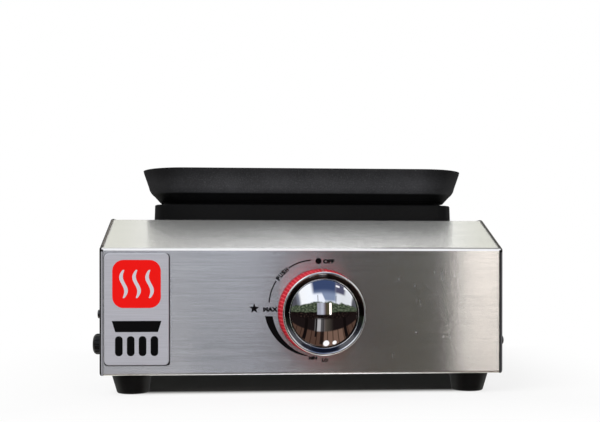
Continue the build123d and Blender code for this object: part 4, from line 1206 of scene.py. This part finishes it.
@dataclass
class Dial(SubAssembly):
    """Control marks printed on the front panel round the knob."""

    title: str = "dial"
    solids: tuple[str, ...] = ("panel_bush",)
    middle: Point = (21.9, 72.0)
    ink: float = 0.06
    line: float = 1.1
    arc_middle: Point = (-6.1, 5.6)
    arc_radius: float = 38.9
    arcs: tuple[Point, ...] = ((94.3, 124.6), (147.8, 176.6))
    dot: tuple[Point, float] = ((-2.3, 43.7), 2.6)
    star_middle: Point = (-57.9, 2.7)
    star_radii: Point = (4.7, 1.9)
    push_turns: tuple[float, ...] = (143.2, 138.2, 133.2, 128.2)
    push_size: Point = (3.0, 4.2)
    words: tuple[tuple[str, Point, Point], ...] = (
        ("OFF", (6.6, 43.4), (10.0, 3.8)),
        ("MAX", (-43.8, 1.9), (12.8, 4.0)),
        ("MIN", (-7.2, -40.3), (7.2, 3.0)),
        ("LO", (3.4, -42.2), (5.2, 3.0)),
    )
    wedge_outer: tuple[Point, float, Point] = ((-5.2, 5.0), 44.3, (-48.8, -3.9))
    wedge_inner: tuple[Point, float, Point] = ((0.0, 2.8), 42.5, (-41.7, -4.0))
    wedge_tip: Point = (-11.8, -38.4)

    def at(self, point: Point) -> Point:
        """A point given from the middle of the dial, on the panel."""
        return self.middle[0] + point[0], self.middle[1] + point[1]

    def add(self) -> list[Piece]:
        """Prints the arcs, the wedge and the words.

        Returns:
            The marks and the words.
        """
        marks = Stencil(PANEL_FACE, self.ink)
        centre = self.at(self.arc_middle)
        half = self.line / 2
        for start, end in self.arcs:
            outer, inner = (
                arc_points(centre, self.arc_radius + side, start, end, 24) for side in (half, -half)
            )
            marks.band(outer, inner)
        dot, radius = self.dot
        marks.outline(arc_points(self.at(dot), radius, 0, 351, 40))
        marks.outline(self.star(self.at(self.star_middle), *self.star_radii))
        marks.band(*(self.arc_to_tip(*arc) for arc in (self.wedge_outer, self.wedge_inner)))
        words = Stencil(PANEL_FACE, self.ink)
        for text, turn in zip("PUSH", self.push_turns):
            place, _ = arc_points(centre, self.arc_radius - 0.2, turn, turn + 1, 2)
            words.letters(text, place, self.push_size, turn - 90)
        for text, middle, size in self.words:
            words.letters(text, self.at(middle), size)
        ink = self.rack.take(Ink("dial_black_ink"))
        return [
            piece_from(marks.mesh, "dial_marks", ink, "housing"),
            piece_from(words.mesh, "dial_words", ink, "housing"),
        ]

    def star(self, centre: Point, reach: float, waist: float) -> list[Point]:
        """Outline of a five-pointed star, one point up.

        Args:
            centre: Its middle on the panel.
            reach: Radius of its tips.
            waist: Radius of its hollows.

        Returns:
            Its corners in turn.
        """
        tips = arc_points(centre, reach, 90, 378, 5)
        hollows = arc_points(centre, waist, 126, 414, 5)
        return [point for pair in zip(tips, hollows) for point in pair]

    def arc_to_tip(self, centre: Point, radius: float, start: Point) -> list[Point]:
        """One side of the wedge, from the full mark to its tip at the low mark.

        Args:
            centre: Middle of the arc, from the middle of the dial like every point here.
            radius: Its radius.
            start: A point in the direction in which it starts.

        Returns:
            Points of the arc on the panel.
        """
        angles = [
            math.degrees(math.atan2(end[1] - centre[1], end[0] - centre[0])) % 360
            for end in (start, self.wedge_tip)
        ]
        return arc_points(self.at(centre), radius, *angles, 48)


@dataclass
class Nameplate(SubAssembly):
    """Satin plate on black foam tape, with a plain heat sign and a pan sign. The foam reaches past
    the plate, mostly at its right and lower edges, as a painted shadow, and a small tab of it shows
    at the lower right corner.
    """

    title: str = "nameplate"
    solids: tuple[str, ...] = ("badge_plate", "badge_tape")
    ink: float = 0.05
    plate: float = 1.2
    tile: tuple[Point, Point, float] = ((0.0, 21.5), (41.0, 41.0), 9.5)
    wave_places: tuple[float, ...] = (-11.0, 0.0, 11.0)
    wave_width: float = 3.4
    wave_height: float = 24.0
    wave_swing: float = 2.1
    pan_sign: tuple[Point, ...] = ((-21, -10), (21, -10), (18, -19.5), (-18, -19.5))
    bars: tuple[float, ...] = (-15.0, -5.0, 5.0, 15.0)
    bar: tuple[float, Point, float] = (-31.5, (6.4, 17.0), 3.0)
    # the foam pad is shifted and widened past the plate to paint its shadow
    pad_shadow_middle: Point = (0.1, -0.4)
    pad_shadow_margin: Point = (1.1, 0.7)
    pad_corner: float = 3.6
    pad_tag: tuple[Point, Point, float] = ((26.6, -46.6), (2.6, 2.6), 1.0)

    def add(self) -> list[Piece]:
        """Prints the tile, its waves and the pan over its burner bars.

        Returns:
            The foam pad with its painted shadow, the tile, its waves and the signs.
        """
        low, high = box_of("badge_plate")
        face = low.y
        cx, _, cz = axis_of("badge_plate")

        def at(points: Sequence[Point]) -> list[Point]:
            """Moves points from the plate's middle to the panel."""
            return [(cx + x, cz + z) for x, z in points]

        tile = Stencil(face, self.ink)
        tile.outline(at(rounded_box(*self.tile)))
        waves = Stencil(face - self.ink, self.ink)
        for middle in self.wave_places:
            waves.band(at(self.wave(middle, -1)), at(self.wave(middle, 1)))
        signs = Stencil(face, self.ink)
        signs.outline(at(self.pan_sign))
        height, size, corner = self.bar
        for x in self.bars:
            signs.outline(at(rounded_box((x, height), size, corner)))
        # black foam tape, drawn wider than the plate and shifted down: real tape and a painted
        # shadow round the plate
        pad = Stencil(PANEL_FACE, PANEL_FACE - face - self.plate)
        size = (high.x - low.x + self.pad_shadow_margin[0], high.z - low.z + self.pad_shadow_margin[1])
        pad.outline(at(rounded_box(self.pad_shadow_middle, size, self.pad_corner)))
        pad.outline(at(rounded_box(*self.pad_tag)))
        take = self.rack.take
        foam = take(FINISHES["black_foam"])
        red = take(Ink("badge_red_ink", tint=(0.88, 0.008, 0.006)))
        pale = take(Ink("badge_pale_ink", tint=(0.62, 0.62, 0.67)))
        black = take(Ink("badge_black_ink"))
        foam_and_shadow = piece_from(pad.mesh, "badge_foam_and_shadow", foam, "housing")
        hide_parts("badge_tape")
        return [
            foam_and_shadow,
            piece_from(tile.mesh, "badge_tile", red, "housing"),
            piece_from(waves.mesh, "badge_waves", pale, "housing"),
            piece_from(signs.mesh, "badge_signs", black, "housing"),
        ]

    def wave(self, middle: float, side: int) -> list[Point]:
        """One side of a rising wave of heat, narrowing at both ends.

        Args:
            middle: Its place to the right of the plate's middle.
            side: -1 for its left side and 1 for its right side.

        Returns:
            Points from its foot to its top, from the plate's middle.
        """
        points = []
        for step in range(33):
            share = step / 32
            width = self.wave_width * (0.35 + 0.65 * math.sin(math.pi * share) ** 0.5)
            swing = self.wave_swing * math.sin(2 * math.pi * share)
            z = self.tile[0][1] + self.wave_height * (share - 0.5)
            points.append((middle + swing + side * width / 2, z))
        return points


@dataclass
class Knob(SubAssembly):
    """Plated cap in a ribbed red grip, on the valve's stem."""

    title: str = "knob"
    solids: tuple[str, ...] = (
        "knob_cap", "knob_ring", "knob_pointer", "knob_hub", "knob_clip", "valve_stem",
    )
    rim_radius: float = 34.4
    dome_radius: float = 28.3
    dome_height: float = 6.6
    channel: float = 2.7
    bore: float = 31.0
    wall: float = 1.2
    roll: float = 1.2
    # colour and roughness of the darker plating in the channel
    dark_channel: tuple[Colour, float] = ((0.10, 0.10, 0.11), 0.10)
    rib_depth: float = 0.7
    rib_fill: float = 0.45
    ease: float = 0.35
    slot_half: float = 1.0
    slot_floor: float = 32.1

    def add(self) -> list[Piece]:
        """Turns the cap and the grip about the stem.

        Returns:
            The cap and the grip.
        """
        apex = box_of("knob_cap")[0].y
        centre = axis_of("knob_cap")
        cap = self.cap(apex)
        low, high = box_of("knob_ring")
        grip = self.grip(low.y, high.y, (high.x - low.x) / 2)
        chrome = self.rack.take(FINISHES["knob_chrome"])
        red = self.rack.take(GripRed("grip_red_turned", row=low.y + KNOB_GROOVE))
        pieces = [
            piece_from(cap, "knob_cap_turned", chrome, "knob", centre, True),
            piece_from(grip, "knob_grip_turned", red, "knob", centre, True),
        ]
        self.blacken(pieces[0], apex)
        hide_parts("knob_cap")
        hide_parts("knob_ring")
        return pieces

    def cap(self, apex: float) -> Mesh:
        """Rim, channel and dome as one smooth turned shell.

        Args:
            apex: y of the dome's middle, the foremost point of the knob.

        Returns:
            The mesh about the stem's axis.
        """
        edge = apex + self.dome_height
        foot = edge + self.channel
        rise = self.dome_height + self.channel
        curve = (self.dome_radius**2 + rise**2) / (2 * rise)
        inside, rim, bore = self.dome_radius - self.wall, self.rim_radius, self.bore - 0.1
        profile = self.dome(apex, curve, self.dome_radius, 40)
        profile += arc_points((self.dome_radius + 0.25, foot - 0.45), 0.55, 115, 45, 8)
        profile += straight(profile[-1], (rim - 2.4, edge + 0.45), 8)
        profile += arc_points((rim - self.roll, edge + self.roll), self.roll, 215, 360, 14)
        profile += [(rim, edge + 2.5), (rim, edge + 4.5), (bore, edge + 4.52), (bore, edge + 6.5)]
        profile += [(inside, edge + 6.5), (inside, foot + self.wall)]
        profile += self.dome(apex + self.wall, curve - self.wall, inside, 12)[-2::-1]
        return lathe(profile, 224)

    def dome(self, apex: float, curve: float, reach: float, count: int) -> list[Point]:
        """Profile of a shallow dome from its middle outward.

        Args:
            apex: y of its middle.
            curve: Radius of the sphere that it is a part of.
            reach: Radius where it ends.
            count: Number of steps.

        Returns:
            Radius and y of each ring.
        """
        steep = math.asin(reach / curve)
        turns = [steep * i / count for i in range(1, count + 1)]
        rings = [(curve * math.sin(turn), apex + curve * (1 - math.cos(turn))) for turn in turns]
        return [(0.02, apex), *rings]

    def blacken(self, cap: Piece, apex: float) -> None:
        """Gives the channel between dome and rim a darker, duller plating.

        Args:
            cap: The turned cap.
            apex: y of the dome's middle.
        """
        cap.data.materials.append(self.rack.take(Chrome("knob_dark_channel_chrome", *self.dark_channel)))
        inner, outer = self.dome_radius + 0.62, self.rim_radius - 2.2
        floor = apex + self.dome_height + self.channel + 0.6
        for face in cap.data.polygons:
            middle = face.center / MM
            if inner < math.hypot(middle.x, middle.z) < outer and middle.y < floor:
                face.material_index = 1

    def grip(self, front: float, back: float, back_radius: float) -> Mesh:
        """Ribbed ring with one groove round it and a slot for the pointer.

        Args:
            front: y of its front end.
            back: y of its back end, next to the panel.
            back_radius: Its radius there.

        Returns:
            The mesh about the stem's axis.
        """
        front_radius = self.rim_radius - 0.3
        length = back - front

        def reach(radius: float, y: float, turn: float) -> float:
            """Radius of the ribbed side at one place.

            Args:
                radius: Radius of the plain ring there.
                y: Place along the axis.
                turn: Angle about the axis, in radians.

            Returns:
                The radius with ribs, groove and slot cut in.
            """
            if radius <= self.bore:
                return radius
            beside = abs(math.remainder(turn - math.pi / 2, 2 * math.pi)) * radius
            if beside < self.slot_half:
                return self.slot_floor
            wave = math.cos(turn * KNOB_RIBS)
            groove = max(0.0, (wave - self.rib_fill) / (1 - self.rib_fill))
            ring = max(0.0, 1 - abs(y - front - length / 2) / 1.3)
            return radius - self.rib_depth * max(groove, ring)

        ends = [0.0, self.ease, 1.0]
        rows = ends + [length * i / 16 for i in range(1, 16)] + [length - end for end in ends[::-1]]
        profile = [(self.bore, front)]
        for depth in rows:
            radius = front_radius + (back_radius - front_radius) * depth / length
            ease = self.ease - min(depth, length - depth, self.ease)
            profile.append((radius - ease, front + depth))
        profile += [(self.bore, back), (self.bore, front)]
        return lathe(profile, KNOB_RIBS * 12, reach)


@dataclass
class CookingTop(SubAssembly):
    """Cast pan, the frame it stands on and the tray under it."""

    title: str = "cooking top"
    solids: tuple[str, ...] = ("pan", "pan_frame", "frame_screws", "heat_tray")


@dataclass
class Burner(SubAssembly):
    """Round burner on its stand, the tube that feeds it and the heat shield."""

    title: str = "burner"
    solids: tuple[str, ...] = (
        "burner_body", "burner_cap", "burner_cap_screw", "burner_stand", "burner_screws",
        "mixing_tube", "air_shutter", "heat_shield", "shield_screws",
    )


@dataclass
class GasTrain(SubAssembly):
    """Inlet, supply pipe, valve and jet."""

    title: str = "gas train"
    solids: tuple[str, ...] = (
        "gas_inlet", "inlet_locknut", "supply_pipe", "pipe_nuts", "valve_bracket",
        "bracket_screws", "valve_screws", "valve_gland", "valve_body", "valve_plug",
        "stem_spring", "jet",
    )
    wire: float = 0.9
    turns: float = 5.0
    travel: float = 3.5

    def add(self) -> list[Piece]:
        """Winds the stem's spring as a coil of fixed shape; in the burner it gives as the knob goes
        in.

        Returns:
            The wound spring.
        """
        low, high = box_of("stem_spring")
        centre = axis_of("stem_spring")
        radius = (high.x - low.x - self.wire) / 2
        mesh = self.coil(radius, low.y + self.wire / 2, high.y - self.wire / 2)
        steel = self.rack.take(FINISHES["spring_steel"])
        coil = piece_from(
            mesh, "stem_spring_wound", steel, "valve_plug", centre, True
        )
        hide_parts("stem_spring")
        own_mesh(coil)
        return [coil]

    def coil(self, radius: float, front: float, back: float) -> Mesh:
        """Round wire wound about the Y axis with closed ends.

        Args:
            radius: Radius of the wire's middle line.
            front: y of that line at the stem's collar.
            back: y of that line at the plug.

        Returns:
            The mesh about the stem's axis.
        """
        mesh = bmesh.new()
        steps = int(self.turns * 40)
        circle = arc_points((0.0, 0.0), self.wire / 2, 0, 330, 12)
        rings = []
        for step in range(steps + 1):
            share = step / steps
            turn = 2 * math.pi * self.turns * share
            out = Vector((math.cos(turn), 0.0, math.sin(turn)))
            middle = out * radius + Vector((0.0, front + (back - front) * share, 0.0))
            ring = [middle + out * aside + Vector((0, along, 0)) for aside, along in circle]
            rings.append([mesh.verts.new(point) for point in ring])
        for near, far in zip(rings, rings[1:]):
            for k in range(len(circle)):
                mesh.faces.new((near[k], near[k - 1], far[k - 1], far[k]))
        mesh.faces.new(rings[0])
        mesh.faces.new(reversed(rings[-1]))
        return mesh


@dataclass
class Igniter(SubAssembly):
    """Spark igniter, its lead and the electrode beside the burner."""

    title: str = "igniter"
    solids: tuple[str, ...] = (
        "spark_igniter", "igniter_screw", "ignition_lead", "electrode_insulator",
        "spark_electrode",
    )


# ------------------------------------------------------------------ the studio
@dataclass(frozen=True)
class Look:
    """A direction in the room, as two angles in degrees in a shader tree.

    Across goes to the right of the burner's own front, and turn from straight ahead over
    the top to the back.
    """

    graph: Graph
    across: Socket
    turn: Socket

    def patch(self, low: Point, high: Point, soft: float, hang: Socket | None = None) -> Socket:
        """One inside a patch and nought outside.

        Args:
            low: Across and turn of its lower left corner.
            high: Those of its upper right corner.
            soft: Width of its soft edges.
            hang: Turn to use in place of the look's own.

        Returns:
            The mask.
        """
        turn = self.turn if hang is None else hang
        wide = self.graph.window(self.across, low[0], high[0], soft)
        return self.graph.times(wide, self.graph.window(turn, low[1], high[1], soft))

    def bands(self, stops: Stops) -> Socket:
        """Upright bands of colour, side by side.

        Args:
            stops: Each place across, in degrees, and its colour.

        Returns:
            The colour at the look's own place.
        """
        place = self.graph.line(self.across, 1 / 180, 0.5)
        scaled = [((a + 90) / 180, tuple(c / BRIGHTEST for c in rgb)) for a, rgb in stops]
        return self.graph.mix(1.0, self.graph.ramp(place, scaled), (BRIGHTEST,) * 3, "MULTIPLY")


@dataclass(frozen=True)
class Room:
    """What bright metal mirrors: a garden room with a pale sky, dark tables and a wood floor.

    Places are degrees. Each row of stops is a place across and its colour. A patch or a pane
    is its lower left and upper right corners, and any other pair of numbers is where a thing
    starts and ends. A table leg is its middle, half its width, its foot and its strength. A
    lamp is its middle, its turn and its size.
    """

    sky: Stops = (
        (-90.0, (1.0, 1.0, 1.0)), (-80.0, (0.5, 0.5, 0.5)), (-74.0, (0.1, 0.1, 0.12)),
        (-54.0, (0.08, 0.08, 0.1)), (-47.0, (0.22, 0.24, 0.3)), (-42.0, (1.0, 1.02, 1.04)),
        (-20.0, (1.02, 1.06, 1.12)), (-12.0, (0.95, 1.0, 1.1)), (20.0, (0.85, 0.9, 0.98)),
        (40.0, (0.8, 0.82, 0.86)), (59.0, (0.85, 0.87, 0.92)), (63.0, (0.1, 0.1, 0.12)),
        (76.0, (0.1, 0.1, 0.12)), (84.0, (0.5, 0.5, 0.5)), (90.0, (1.0, 1.0, 1.0)),
    )
    level: Stops = (
        (-4.8, (0.38, 0.39, 0.46)), (-3.0, (0.5, 0.52, 0.6)), (0.8, (0.5, 0.52, 0.61)),
        (3.0, (0.31, 0.3, 0.35)), (6.0, (0.11, 0.08, 0.07)), (8.0, (0.07, 0.055, 0.035)),
        (12.0, (0.1, 0.09, 0.05)), (13.85, (0.05, 0.05, 0.055)), (14.12, (2.08, 1.96, 1.86)),
        (15.4, (2.4, 2.2, 2.05)),
    )
    ground: Stops = (
        (-90.0, (0.45, 0.45, 0.45)), (-76.0, (0.012, 0.008, 0.008)),
        (-16.0, (0.012, 0.008, 0.008)), (-9.0, (0.46, 0.45, 0.46)), (-3.0, (0.46, 0.45, 0.46)),
        (1.0, (0.3, 0.28, 0.29)), (5.0, (0.1, 0.08, 0.07)), (9.0, (0.07, 0.06, 0.05)),
        (22.0, (0.012, 0.008, 0.008)), (76.0, (0.012, 0.008, 0.008)), (90.0, (0.45, 0.45, 0.45)),
    )
    behind: Stops = (
        (-90.0, (0.95, 0.95, 0.95)), (-20.0, (0.98, 0.98, 0.9)), (-8.0, (0.98, 0.98, 0.88)),
        (-4.0, (1.25, 1.25, 1.24)), (1.0, (1.7, 1.72, 1.74)), (6.0, (1.95, 1.97, 1.98)),
        (10.0, (1.75, 1.76, 1.74)), (12.8, (1.25, 1.25, 1.22)), (15.5, (0.98, 0.98, 0.88)),
        (30.0, (0.98, 0.98, 0.9)), (90.0, (0.95, 0.95, 0.95)),
    )
    awning: tuple[Colour, Colour] = ((0.24, 0.30, 0.44), (0.045, 0.07, 0.16))
    awning_fade: Point = (36.0, 52.0)
    awning_patch: tuple[Point, Point] = ((-18.0, 40.0), (27.0, 120.0))
    side_awning: Colour = (0.09, 0.09, 0.15)
    side_patch: tuple[Point, Point] = ((25.0, 44.0), (44.0, 90.0))
    pole: Colour = (0.05, 0.06, 0.08)
    poles: tuple[float, ...] = (-9.0, 27.0)
    pole_half: float = 0.8
    pole_ends: Point = (10.0, 37.0)
    pane: Colour = (1.0, 1.0, 1.05)
    panes: tuple[tuple[Point, Point], ...] = (
        ((25.5, 58.25), (32.5, 62.75)), ((40.5, 60.0), (47.5, 67.0)),
    )
    hedge: tuple[Colour, Colour] = ((0.022, 0.034, 0.020), (0.19, 0.23, 0.15))
    hedge_top: Point = (26.0, 31.0)
    wood: Colour = (0.006, 0.004, 0.004)
    clutter: Colour = (0.075, 0.045, 0.038)
    table_top: Point = (4.0, 7.0)
    ground_top: Point = (-16.0, -10.0)
    gap: tuple[Point, Point] = ((-11.0, -4.0), (17.6, 20.0))
    boards: tuple[Colour, Colour] = ((0.05, 0.03, 0.02), (0.19, 0.115, 0.085))
    board_shade: Colour = (0.03, 0.012, 0.008)
    board_width: float = 5.0
    lit_boards: Point = (3.0, 41.0)
    deck_edge: Point = (-41.0, -37.0)
    legs: tuple[tuple[float, float, float, float], ...] = (
        (0.0, 3.5, -68.0, 0.8), (-32.0, 3.0, -66.0, 1.0), (45.0, 3.0, -72.0, 1.0),
        (-12.0, 1.6, -52.0, 1.0),
    )
    lamp: Colour = (1.1, 1.08, 1.08)
    lamps: tuple[tuple[float, float, float], ...] = ((8.0, -66.5, 6.0), (22.0, -68.5, 4.2))
    wall: tuple[Colour, Colour] = ((0.16, 0.16, 0.165), (0.30, 0.30, 0.31))
    wall_top: Point = (146.0, 160.0)
    front_end: Point = (84.0, 96.0)

    def colour(self, graph: Graph) -> Socket:
        """Colour of the room in every direction.

        Args:
            graph: The shader tree.

        Returns:
            The colour.
        """
        x, y, z = graph.axes(graph.node("TexCoord").outputs["Generated"])
        degrees = 180 / math.pi
        across = graph.times(graph.math("ARCSINE", x), degrees)
        turn = graph.times(graph.math("ARCTAN2", z, graph.times(y, -1.0)), degrees)
        look = Look(graph, across, turn)
        tenths = {0: graph.times(across, 0.1), 1: graph.times(turn, 0.1)}
        point = graph.node("CombineXYZ", tenths).outputs[0]
        shapes = graph.noise(point, 0.7, 2.0, 0.5)
        colour = self.garden(look, self.overhead(look), graph.noise(point, 2.6, 5.0, 0.75), shapes)
        colour = self.deck(look, colour)
        far = graph.off(turn)
        wall = graph.mix(graph.step(shapes, 0.35, 0.65), *self.wall)
        back = graph.mix(graph.step(far, *self.wall_top), look.bands(self.behind), wall)
        return graph.mix(graph.step(far, *self.front_end), colour, back)

    def overhead(self, look: Look) -> Socket:
        """Sky with a blue-grey awning, its poles and two bright panes.

        Args:
            look: The direction.

        Returns:
            The colour above the hedge.
        """
        graph = look.graph
        cloth = graph.mix(graph.step(look.turn, *self.awning_fade), *self.awning)
        hang = graph.plus(look.turn, graph.step(look.across, -2.0, 7.0, 0.0, 16.0))
        cover = look.patch(*self.awning_patch, 8.0, hang)
        colour = graph.mix(cover, look.bands(self.sky), cloth)
        colour = graph.mix(look.patch(*self.side_patch, 7.0), colour, self.side_awning)
        foot, head = self.pole_ends
        for place in self.poles:
            bar = look.patch((place - self.pole_half, foot), (place + self.pole_half, head), 1.0)
            colour = graph.mix(graph.times(bar, 0.7), colour, self.pole)
        for low, high in self.panes:
            colour = graph.mix(look.patch(low, high, 1.5), colour, self.pane)
        return colour

    def garden(self, look: Look, colour: Socket, leaves: Socket, shapes: Socket) -> Socket:
        """Hedge under the sky, dark tables before it and a gap with level bands of light.

        Args:
            look: The direction.
            colour: Colour of what is above.
            leaves: Fine noise.
            shapes: Broad noise.

        Returns:
            The colour with all of these in it.
        """
        graph = look.graph
        top = graph.line(shapes, 14.0, look.turn)
        green = graph.mix(graph.step(leaves, 0.42, 0.66), *self.hedge)
        colour = graph.mix(graph.step(top, *self.hedge_top, 1.0, 0.0), colour, green)
        dark = graph.mix(graph.step(leaves, 0.5, 0.66, 0.0, 0.7), self.wood, self.clutter)
        table = graph.line(shapes, 8.0, look.turn)
        colour = graph.mix(graph.step(table, *self.table_top, 1.0, 0.0), colour, dark)
        low = graph.step(look.turn, *self.ground_top, 1.0, 0.0)
        colour = graph.mix(low, colour, look.bands(self.ground))
        gap = look.patch(*self.gap, 2.0)
        return graph.mix(gap, colour, look.bands(self.level))

    def deck(self, look: Look, colour: Socket) -> Socket:
        """Wood floor between the legs of dark tables, with two small lamps low in front.

        Args:
            look: The direction.
            colour: Colour of what is above.

        Returns:
            The colour with floor, legs and lamps in it.
        """
        graph = look.graph
        seams = graph.math("PINGPONG", graph.times(look.across, 1 / self.board_width), 1.0)
        board = graph.mix(graph.step(seams, 0.0, 0.3), *self.boards)
        dim = graph.mix(0.62, board, self.board_shade)
        wood = graph.mix(graph.window(look.across, *self.lit_boards, 3.0), dim, board)
        colour = graph.mix(graph.step(look.turn, *self.deck_edge, 1.0, 0.0), colour, wood)
        for middle, half, foot, share in self.legs:
            post = look.patch((middle - half, foot), (middle + half, -12.0), 1.5)
            colour = graph.mix(graph.times(post, share), colour, self.wood)
        for middle, height, size in self.lamps:
            right = graph.less(look.across, middle)
            over = graph.times(graph.less(look.turn, height), 0.72)
            far = graph.math("SQRT", graph.line(right, right, graph.times(over, over)))
            colour = graph.mix(graph.step(far, size * 0.7, size, 1.0, 0.0), colour, self.lamp)
        return colour


@dataclass
class Studio:
    """Floor, light, surroundings and camera. Lengths here are metres.

    The painted shadow under the burner has slanting sides, each given by its place at the front
    feet and its drift with depth.
    """

    fill: Colour = (0.66, 0.66, 0.66)
    fill_slope: float = -0.45
    floor_reach: float = 40.0
    floor_drop: float = 0.00005
    floor_tones: tuple[Colour, Colour] = ((0.93, 0.93, 0.93), (0.96, 0.96, 0.96))
    shadow_tint: Colour = (0.06, 0.06, 0.06)
    front_feet: float = -0.13
    shadow_left: Point = (-0.163, -0.055)
    shadow_right: Point = (0.177, 0.10)
    shadow_ends: Point = (-0.137, 0.175)
    lamp_power: float = 1.25
    lamp_angle: float = 40.0
    lamp_from: Point3 = (-0.75, -0.65, 0.85)
    lens: float = 52.156
    shift: float = 0.10676
    eye: Point3 = (-0.04495, -0.8850, 0.10772)
    tilt: float = -0.318
    pan: float = -3.7015
    room: Room = Room()

    def build(self) -> None:
        """Sets up everything that isn't the burner."""
        self.world()
        self.floor()
        self.lamp()
        self.camera()
        bpy.context.scene.view_settings.view_transform = "Standard"
        log.info("studio: floor, lamp, surroundings and camera")

    def world(self) -> None:
        """White behind, even light on matt surfaces and the room on bright ones."""
        world = bpy.data.worlds.new("studio")
        bpy.context.scene.world = world
        world.use_nodes = True
        world.cycles.sampling_method = "NONE"
        graph = Graph(world.node_tree)
        east = graph.axes(graph.node("TexCoord").outputs["Generated"])[0]
        fill = graph.dim(self.fill, graph.line(east, self.fill_slope, 1.0))
        colour = graph.mix(graph.mirrored(), fill, self.room.colour(graph))
        seen = graph.node("LightPath").outputs["Is Camera Ray"]
        colour = graph.mix(seen, colour, (1.0, 1.0, 1.0))
        back = graph.node("Background", {"Color": colour, "Strength": 1.0})
        graph.node("OutputWorld", {"Surface": back.outputs[0]})

    def floor(self) -> None:
        """A wide white floor, just under the burner's feet."""
        reach = self.floor_reach
        data = bpy.data.meshes.new("floor")
        sides = [(x * reach, y * reach, 0.0) for x, y in ((-1, -1), (1, -1), (1, 1), (-1, 1))]
        data.from_pydata(sides, [], [(0, 1, 2, 3)])
        data.materials.append(self.floor_material())
        made = bpy.data.objects.new("floor", data)
        made.location.z = -self.floor_drop
        bpy.context.scene.collection.objects.link(made)
        made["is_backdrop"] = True

    def floor_material(self) -> Material:
        """White that keeps the burner's shadow close to it, with a painted shadow under it, and is
        clear from below.

        Returns:
            The material.
        """
        material = bpy.data.materials.new("floor_white")
        material.use_nodes = True
        graph = Graph(material.node_tree)
        under, near = self.shadow(graph)
        camera = graph.node("LightPath").outputs["Is Camera Ray"]
        white = graph.mix(graph.noise(graph.place(), 14.0, 3.0, 0.5), *self.floor_tones)
        # painted shadow under the burner, seen by the camera only
        white = graph.mix(graph.times(under, camera), white, self.shadow_tint)
        lit = graph.node("BsdfDiffuse", {"Color": white}).outputs[0]
        bright = graph.node("Emission", {"Color": (1, 1, 1, 1), "Strength": 1.0}).outputs[0]
        clear = graph.node("BsdfTransparent").outputs[0]
        seen = graph.node("MixShader", {0: near, 1: bright, 2: lit}).outputs[0]
        first = graph.node("MixShader", {0: camera, 1: lit, 2: seen}).outputs[0]
        through = graph.most(graph.mirrored(), graph.node("NewGeometry").outputs["Backfacing"])
        whole = graph.node("MixShader", {0: through, 1: first, 2: clear}).outputs[0]
        graph.node("OutputMaterial", {"Surface": whole})
        return material

    def shadow(self, graph: Graph) -> tuple[Socket, Socket]:
        """Masks of the floor under the burner, and of that with the floor round it.

        Args:
            graph: The shader tree.

        Returns:
            Both masks, from nought to one.
        """
        x, y, _ = graph.axes(graph.node("NewGeometry").outputs["Position"])
        depth = graph.less(y, self.front_feet)
        left = graph.less(graph.line(depth, self.shadow_left[1], self.shadow_left[0]), x)
        right = graph.less(x, graph.line(depth, self.shadow_right[1], self.shadow_right[0]))
        sides = graph.most(left, right)
        front, back = self.shadow_ends
        ends = graph.most(graph.less(front, y), graph.less(y, back))
        inside = graph.step(sides, -0.022, 0.0, 1.0, 0.0)
        under = graph.times(inside, graph.step(ends, -0.034, 0.0, 1.0, 0.0))
        far = graph.most(graph.most(sides, ends), 0.0)
        return under, graph.most(under, graph.step(far, 0.0, 0.20, 0.2, 0.0))

    def lamp(self) -> None:
        """One broad soft lamp, high on the left in front."""
        data = bpy.data.lights.new("soft_lamp", "SUN")
        data.energy = self.lamp_power
        data.angle = math.radians(self.lamp_angle)
        made = bpy.data.objects.new("soft_lamp", data)
        made.rotation_euler = Vector(self.lamp_from).to_track_quat("Z", "Y").to_euler()
        made.visible_glossy = False
        bpy.context.scene.collection.objects.link(made)

    def camera(self) -> None:
        """A level camera a little to the left, at the height of the front panel."""
        data = bpy.data.cameras.new("camera")
        data.sensor_fit, data.sensor_width = "HORIZONTAL", 36.0
        data.lens, data.shift_y = self.lens, self.shift
        data.clip_start, data.clip_end = 0.01, 200.0
        made = bpy.data.objects.new("camera", data)
        made.location = self.eye
        made.rotation_euler = (math.radians(90 + self.tilt), 0.0, math.radians(self.pan))
        bpy.context.scene.collection.objects.link(made)
        bpy.context.scene.camera = made


# ------------------------------------------------------------------ main
def corners() -> list[list[float]]:
    """Lowest and highest corner of what shows, in metres."""
    return [list(corner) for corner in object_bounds()]


def main() -> None:
    """Builds each sub-assembly in order, then the studio."""
    logging.basicConfig(level=logging.INFO, format="%(message)s")
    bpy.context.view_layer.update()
    rack = Rack()
    for kind in (SteelBox, Nameplate, Dial, Knob, CookingTop, Burner, GasTrain, Igniter):
        kind(rack).build()
    Studio().build()
    bpy.context.view_layer.update()


if __name__ == "__main__":
    main()
